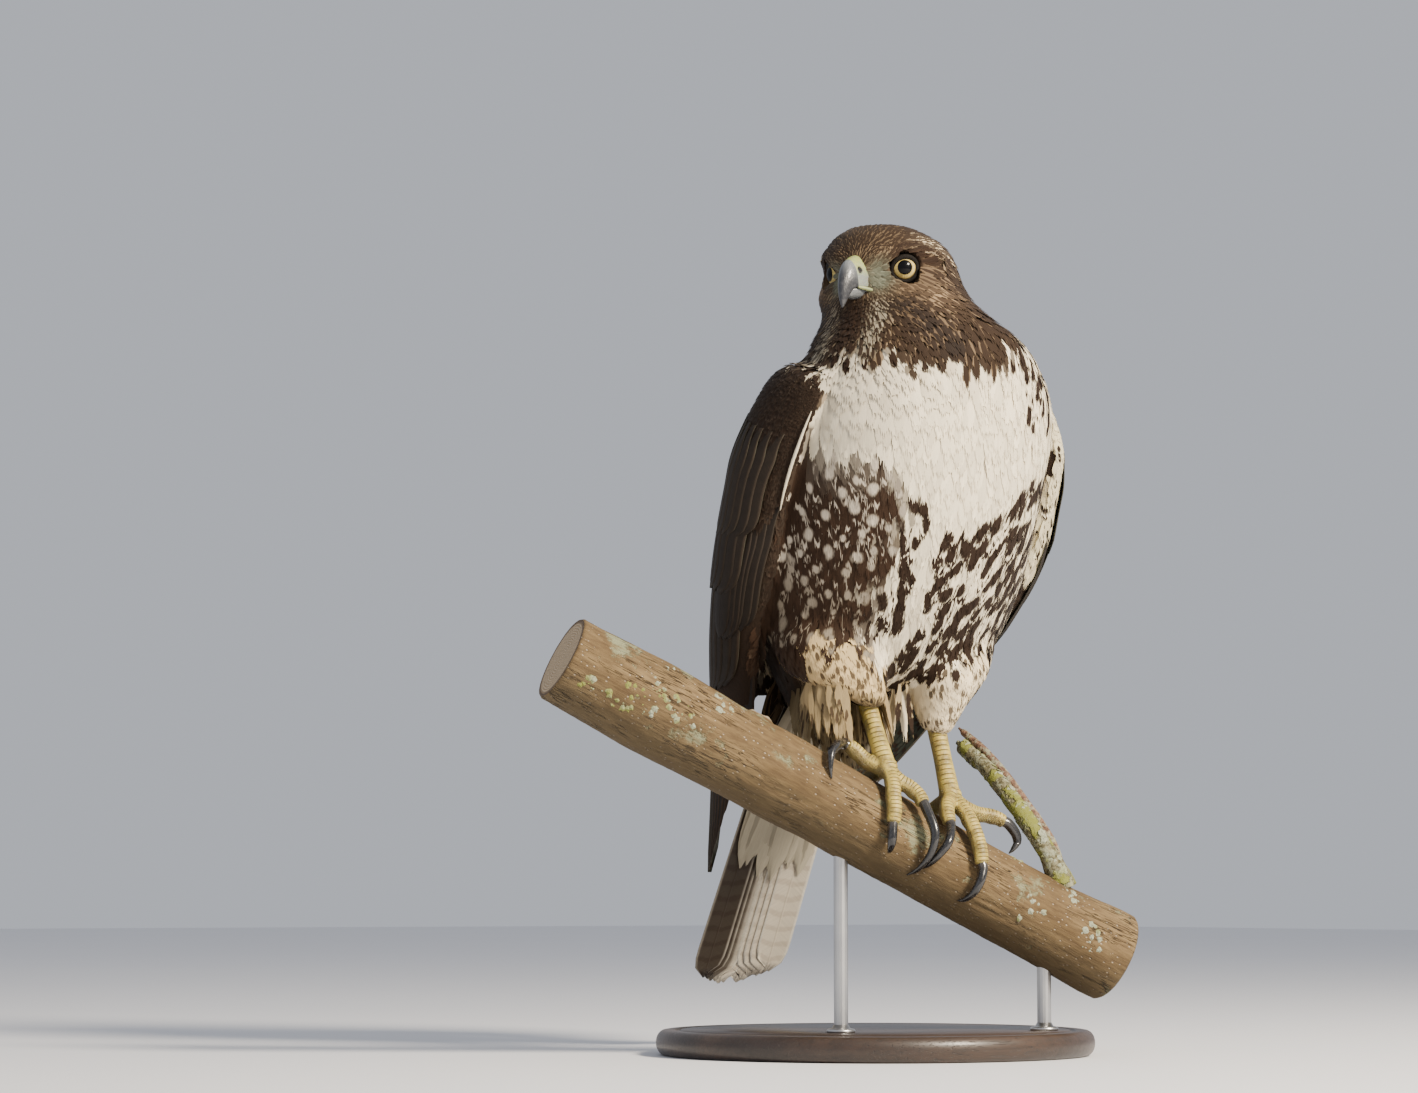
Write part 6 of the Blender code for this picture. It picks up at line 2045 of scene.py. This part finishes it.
top_bar = np.tile(UMBER * 0.95, (tail_count, 1))
# Painted shadow in part: the under faces of the bird's right outer feathers are darkened, and their rims too.
under_tone = blend(np.tile(np.array((0.60, 0.53, 0.42)), (tail_count, 1)), EARTH * 1.1, under_dark_and_shadow * 0.96)
under_bar = blend(np.tile(np.array((0.50, 0.43, 0.335)), (tail_count, 1)), DARK, under_dark_and_shadow * 0.96)
tail_rim = blend(np.tile(np.array((0.66, 0.62, 0.53)), (tail_count, 1)), np.array((0.38, 0.34, 0.28)), under_dark_and_shadow)
chance = np.broadcast_to((np.arange(tail_count) * 0.618 % 1)[:, None, None] * 0.25, shape)
vane_place = np.stack((a, t * lengths, chance), axis=-1)
tail_made = vane_solids(
    "tail_feathers", grip_mm(tail_points), tail_normal, flight_paint, "tail_vanes", ["tail"],
    {
        "vane": (vane_place, vane_place),
        "tone": (coloured(top_tone, shape), coloured(under_tone, shape)),
        "bar": (coloured(top_bar, shape), coloured(under_bar, shape)),
        "rim": (coloured(top_tone * 1.3, shape), coloured(tail_rim, shape)),
    }, False,
)
tail_middle = np.stack(
    (0.05 + 0.9 * np.arange(tail_count) / (tail_count - 1), np.full(tail_count, 0.5)), axis=-1
)
bake_patch(tail_made, tail_middle, 0.065, tail_count, TAIL_ROWS, TAIL_COLUMNS)

COVERT_ROWS, COVERT_COLUMNS = 9, 7


def covert_rows(name, count, first, last, lengths_mm, way_up, seed, colours, slot, fluffy):
    """Soft vanes over the tail's root: roots between first and last down the tail, spread over nine tenths
    of its width, each standing off the tail by a height that falls towards its tip."""
    random = np.random.default_rng(seed)
    start = first + (last - first) * np.sort(random.random(count))
    if way_up < 0:
        start = start[::-1]
    aside0 = (random.random(count) * 2 - 1) * 24
    long = lengths_mm[0] + (lengths_mm[1] - lengths_mm[0]) * random.random(count)
    wide = long * fluffy
    t, a = vane_grid(count, COVERT_ROWS, COVERT_COLUMNS)
    taper = np.clip((t - 0.6) / 0.4, 0, 1)
    half = (wide / 2)[:, None, None] * (0.4 + 0.6 * eased(t, 0, 0.4)) * (1 - 0.9 * taper**2.2)
    drift = aside0[:, None, None] * (1 + 0.06 * t) + (random.random(count) - 0.5)[:, None, None] * 9 * t**1.5
    lift = (3.0 + 8.5 * (1 - start / max(last, 1)) + 2.2 * random.random(count))[:, None, None]
    level = way_up * (lift * (1 - 0.75 * t**1.3) + 2.5 - 0.9 * a**2)
    frayed = random.random((count, 1, COVERT_COLUMNS)) * 3.0 * t**6
    reach = start[:, None, None] + long[:, None, None] * t + frayed
    points = grip_mm(tail_place(reach, drift + a * half, level))
    index = np.arange(COVERT_ROWS * COVERT_COLUMNS).reshape(COVERT_ROWS, COVERT_COLUMNS)
    quads = np.stack((index[:-1, :-1], index[:-1, 1:], index[1:, 1:], index[1:, :-1]), axis=-1).reshape(-1, 4)
    if way_up < 0:
        quads = quads[:, ::-1]
    faces = [(quads[None] + (np.arange(count) * index.size)[:, None, None]).reshape(-1, 4)]
    made = piece(name, points.reshape(-1, 3), faces, plumage_paint, slot)
    ground, mark, wide_mark, strength = colours
    picked = (random.random(count) < strength)[:, None, None]
    vary = (0.9 + 0.2 * random.random(count))[:, None]
    attach(made, "ground", coloured(np.tile(ground, (count, 1)) * vary, t.shape).reshape(-1, 4))
    attach(made, "mark", coloured(np.tile(mark, (count, 1)), t.shape).reshape(-1, 4))
    attach(
        made, "figure",
        np.stack((np.abs(a) / wide_mark, (t - 0.5) / 0.4, picked * np.ones(t.shape)), axis=-1).reshape(-1, 3)
    )
    attach(made, "blur", np.full(t.size, 0.15))
    seeds = random.random(count)[:, None, None] * 400 + 0 * t
    barbs = np.stack((a * half * 1.25, t * long[:, None, None] * 0.12, seeds), axis=-1)
    attach(made, "barbs", barbs.reshape(-1, 3))
    centre = np.stack((0.5 + 0.45 * aside0 / 24, 0.1 + 0.8 * start / 90), axis=-1)[:, None, None]
    patch = centre + np.stack((0.0015 * a, 0.003 * (t - 0.5)), axis=-1)
    chart(made, "OFBake", patch.reshape(-1, 2))
    return made


# The undertail coverts' grey white, painted darker grey as painted shade under the tail.
covert_rows(
    "undertail_coverts", 210, 0, 70, (30, 78), -1, 61, (CREAM * 0.56, CREAM * 0.36, 0.3, 0.3),
    "plumage_pale", 0.22
)
covert_rows(
    "uppertail_coverts", 90, -14, 44, (30, 44), 1, 62, (BUFF * 0.72, UMBER, 0.66, 0.9), "plumage_dark", 0.42
)

# Room and camera
# A plain pale floor, one warm lamp with a weak cool one across from it, and an even sky. The camera stands at
# the photograph's angle and sees it through the same long lens.

FLOOR_PALE = (0.80, 0.80, 0.82)
VIEW_TURN = math.radians(-30.0)
VIEW_RISE = math.radians(-5.0)
VIEW_DISTANCE = 2.5
AIM_ACROSS_MM, AIM_UP_MM = -131.0, 193.0
LENS_MM, SENSOR_MM = 100.74, 36.0
LIGHT_AIM = (0.0, -0.03, 0.33)

floor_paint = Finish("floor_paint", Roughness=0.9)
floor_cloud = floor_paint.noise(floor_paint.place(), 1.3, 3.0)
floor_colour = floor_paint.mix(floor_cloud, FLOOR_PALE, (0.77, 0.77, 0.80))
floor_mesh = bpy.data.meshes.new("floor")
floor_mesh.from_pydata([(-6, -4, 0), (6, -4, 0), (6, 9, 0), (-6, 9, 0)], [], [(0, 1, 2, 3)])
floor_mesh.materials.append(floor_paint.paint(Base_Color=floor_colour))
floor = bpy.data.objects.new("floor", floor_mesh)
bpy.context.scene.collection.objects.link(floor)

world = bpy.data.worlds.new("studio")
world.use_nodes = True
world.node_tree.nodes["Background"].inputs["Color"].default_value = (0.70, 0.73, 0.80, 1.0)
world.node_tree.nodes["Background"].inputs["Strength"].default_value = 0.72
bpy.context.scene.world = world


def area_light(name, place, size, power, colour):
    """A round soft light that faces the bird's breast."""
    lamp = bpy.data.lights.new(name, "AREA")
    lamp.shape = "DISK"
    lamp.size = size
    lamp.energy = power
    lamp.color = colour
    made = bpy.data.objects.new(name, lamp)
    made.location = place
    target = Vector(LIGHT_AIM)
    made.rotation_euler = (target - Vector(place)).to_track_quat("-Z", "Y").to_euler()
    bpy.context.scene.collection.objects.link(made)


view_right = np.array((math.cos(VIEW_TURN), math.sin(VIEW_TURN), 0.0))
view_back = np.array((
    math.sin(VIEW_TURN) * math.cos(VIEW_RISE), -math.cos(VIEW_TURN) * math.cos(VIEW_RISE),
    math.sin(VIEW_RISE),
))
view_up = np.cross(view_back, view_right)
area_light(
    "key_light", tuple(view_right * 1.5 + view_back * 1.3 + view_up * 1.7), 0.6, 165.0, (1.0, 0.89, 0.72)
)
area_light(
    "fill_light", tuple(-view_right * 2.2 + view_back * 1.6 + view_up * 0.9), 2.2, 3.0, (0.84, 0.9, 1.0)
)

lens = bpy.data.cameras.new("camera")
lens.sensor_width = SENSOR_MM
lens.lens = LENS_MM
lens.clip_start, lens.clip_end = 0.05, 40.0
camera = bpy.data.objects.new("camera", lens)
aim = GRIP + MM * (AIM_ACROSS_MM * view_right + AIM_UP_MM * view_up)
camera.location = tuple(aim + VIEW_DISTANCE * view_back)
camera.rotation_euler = Vector(tuple(-view_back)).to_track_quat("-Z", "Y").to_euler()
bpy.context.scene.collection.objects.link(camera)
bpy.context.scene.camera = camera
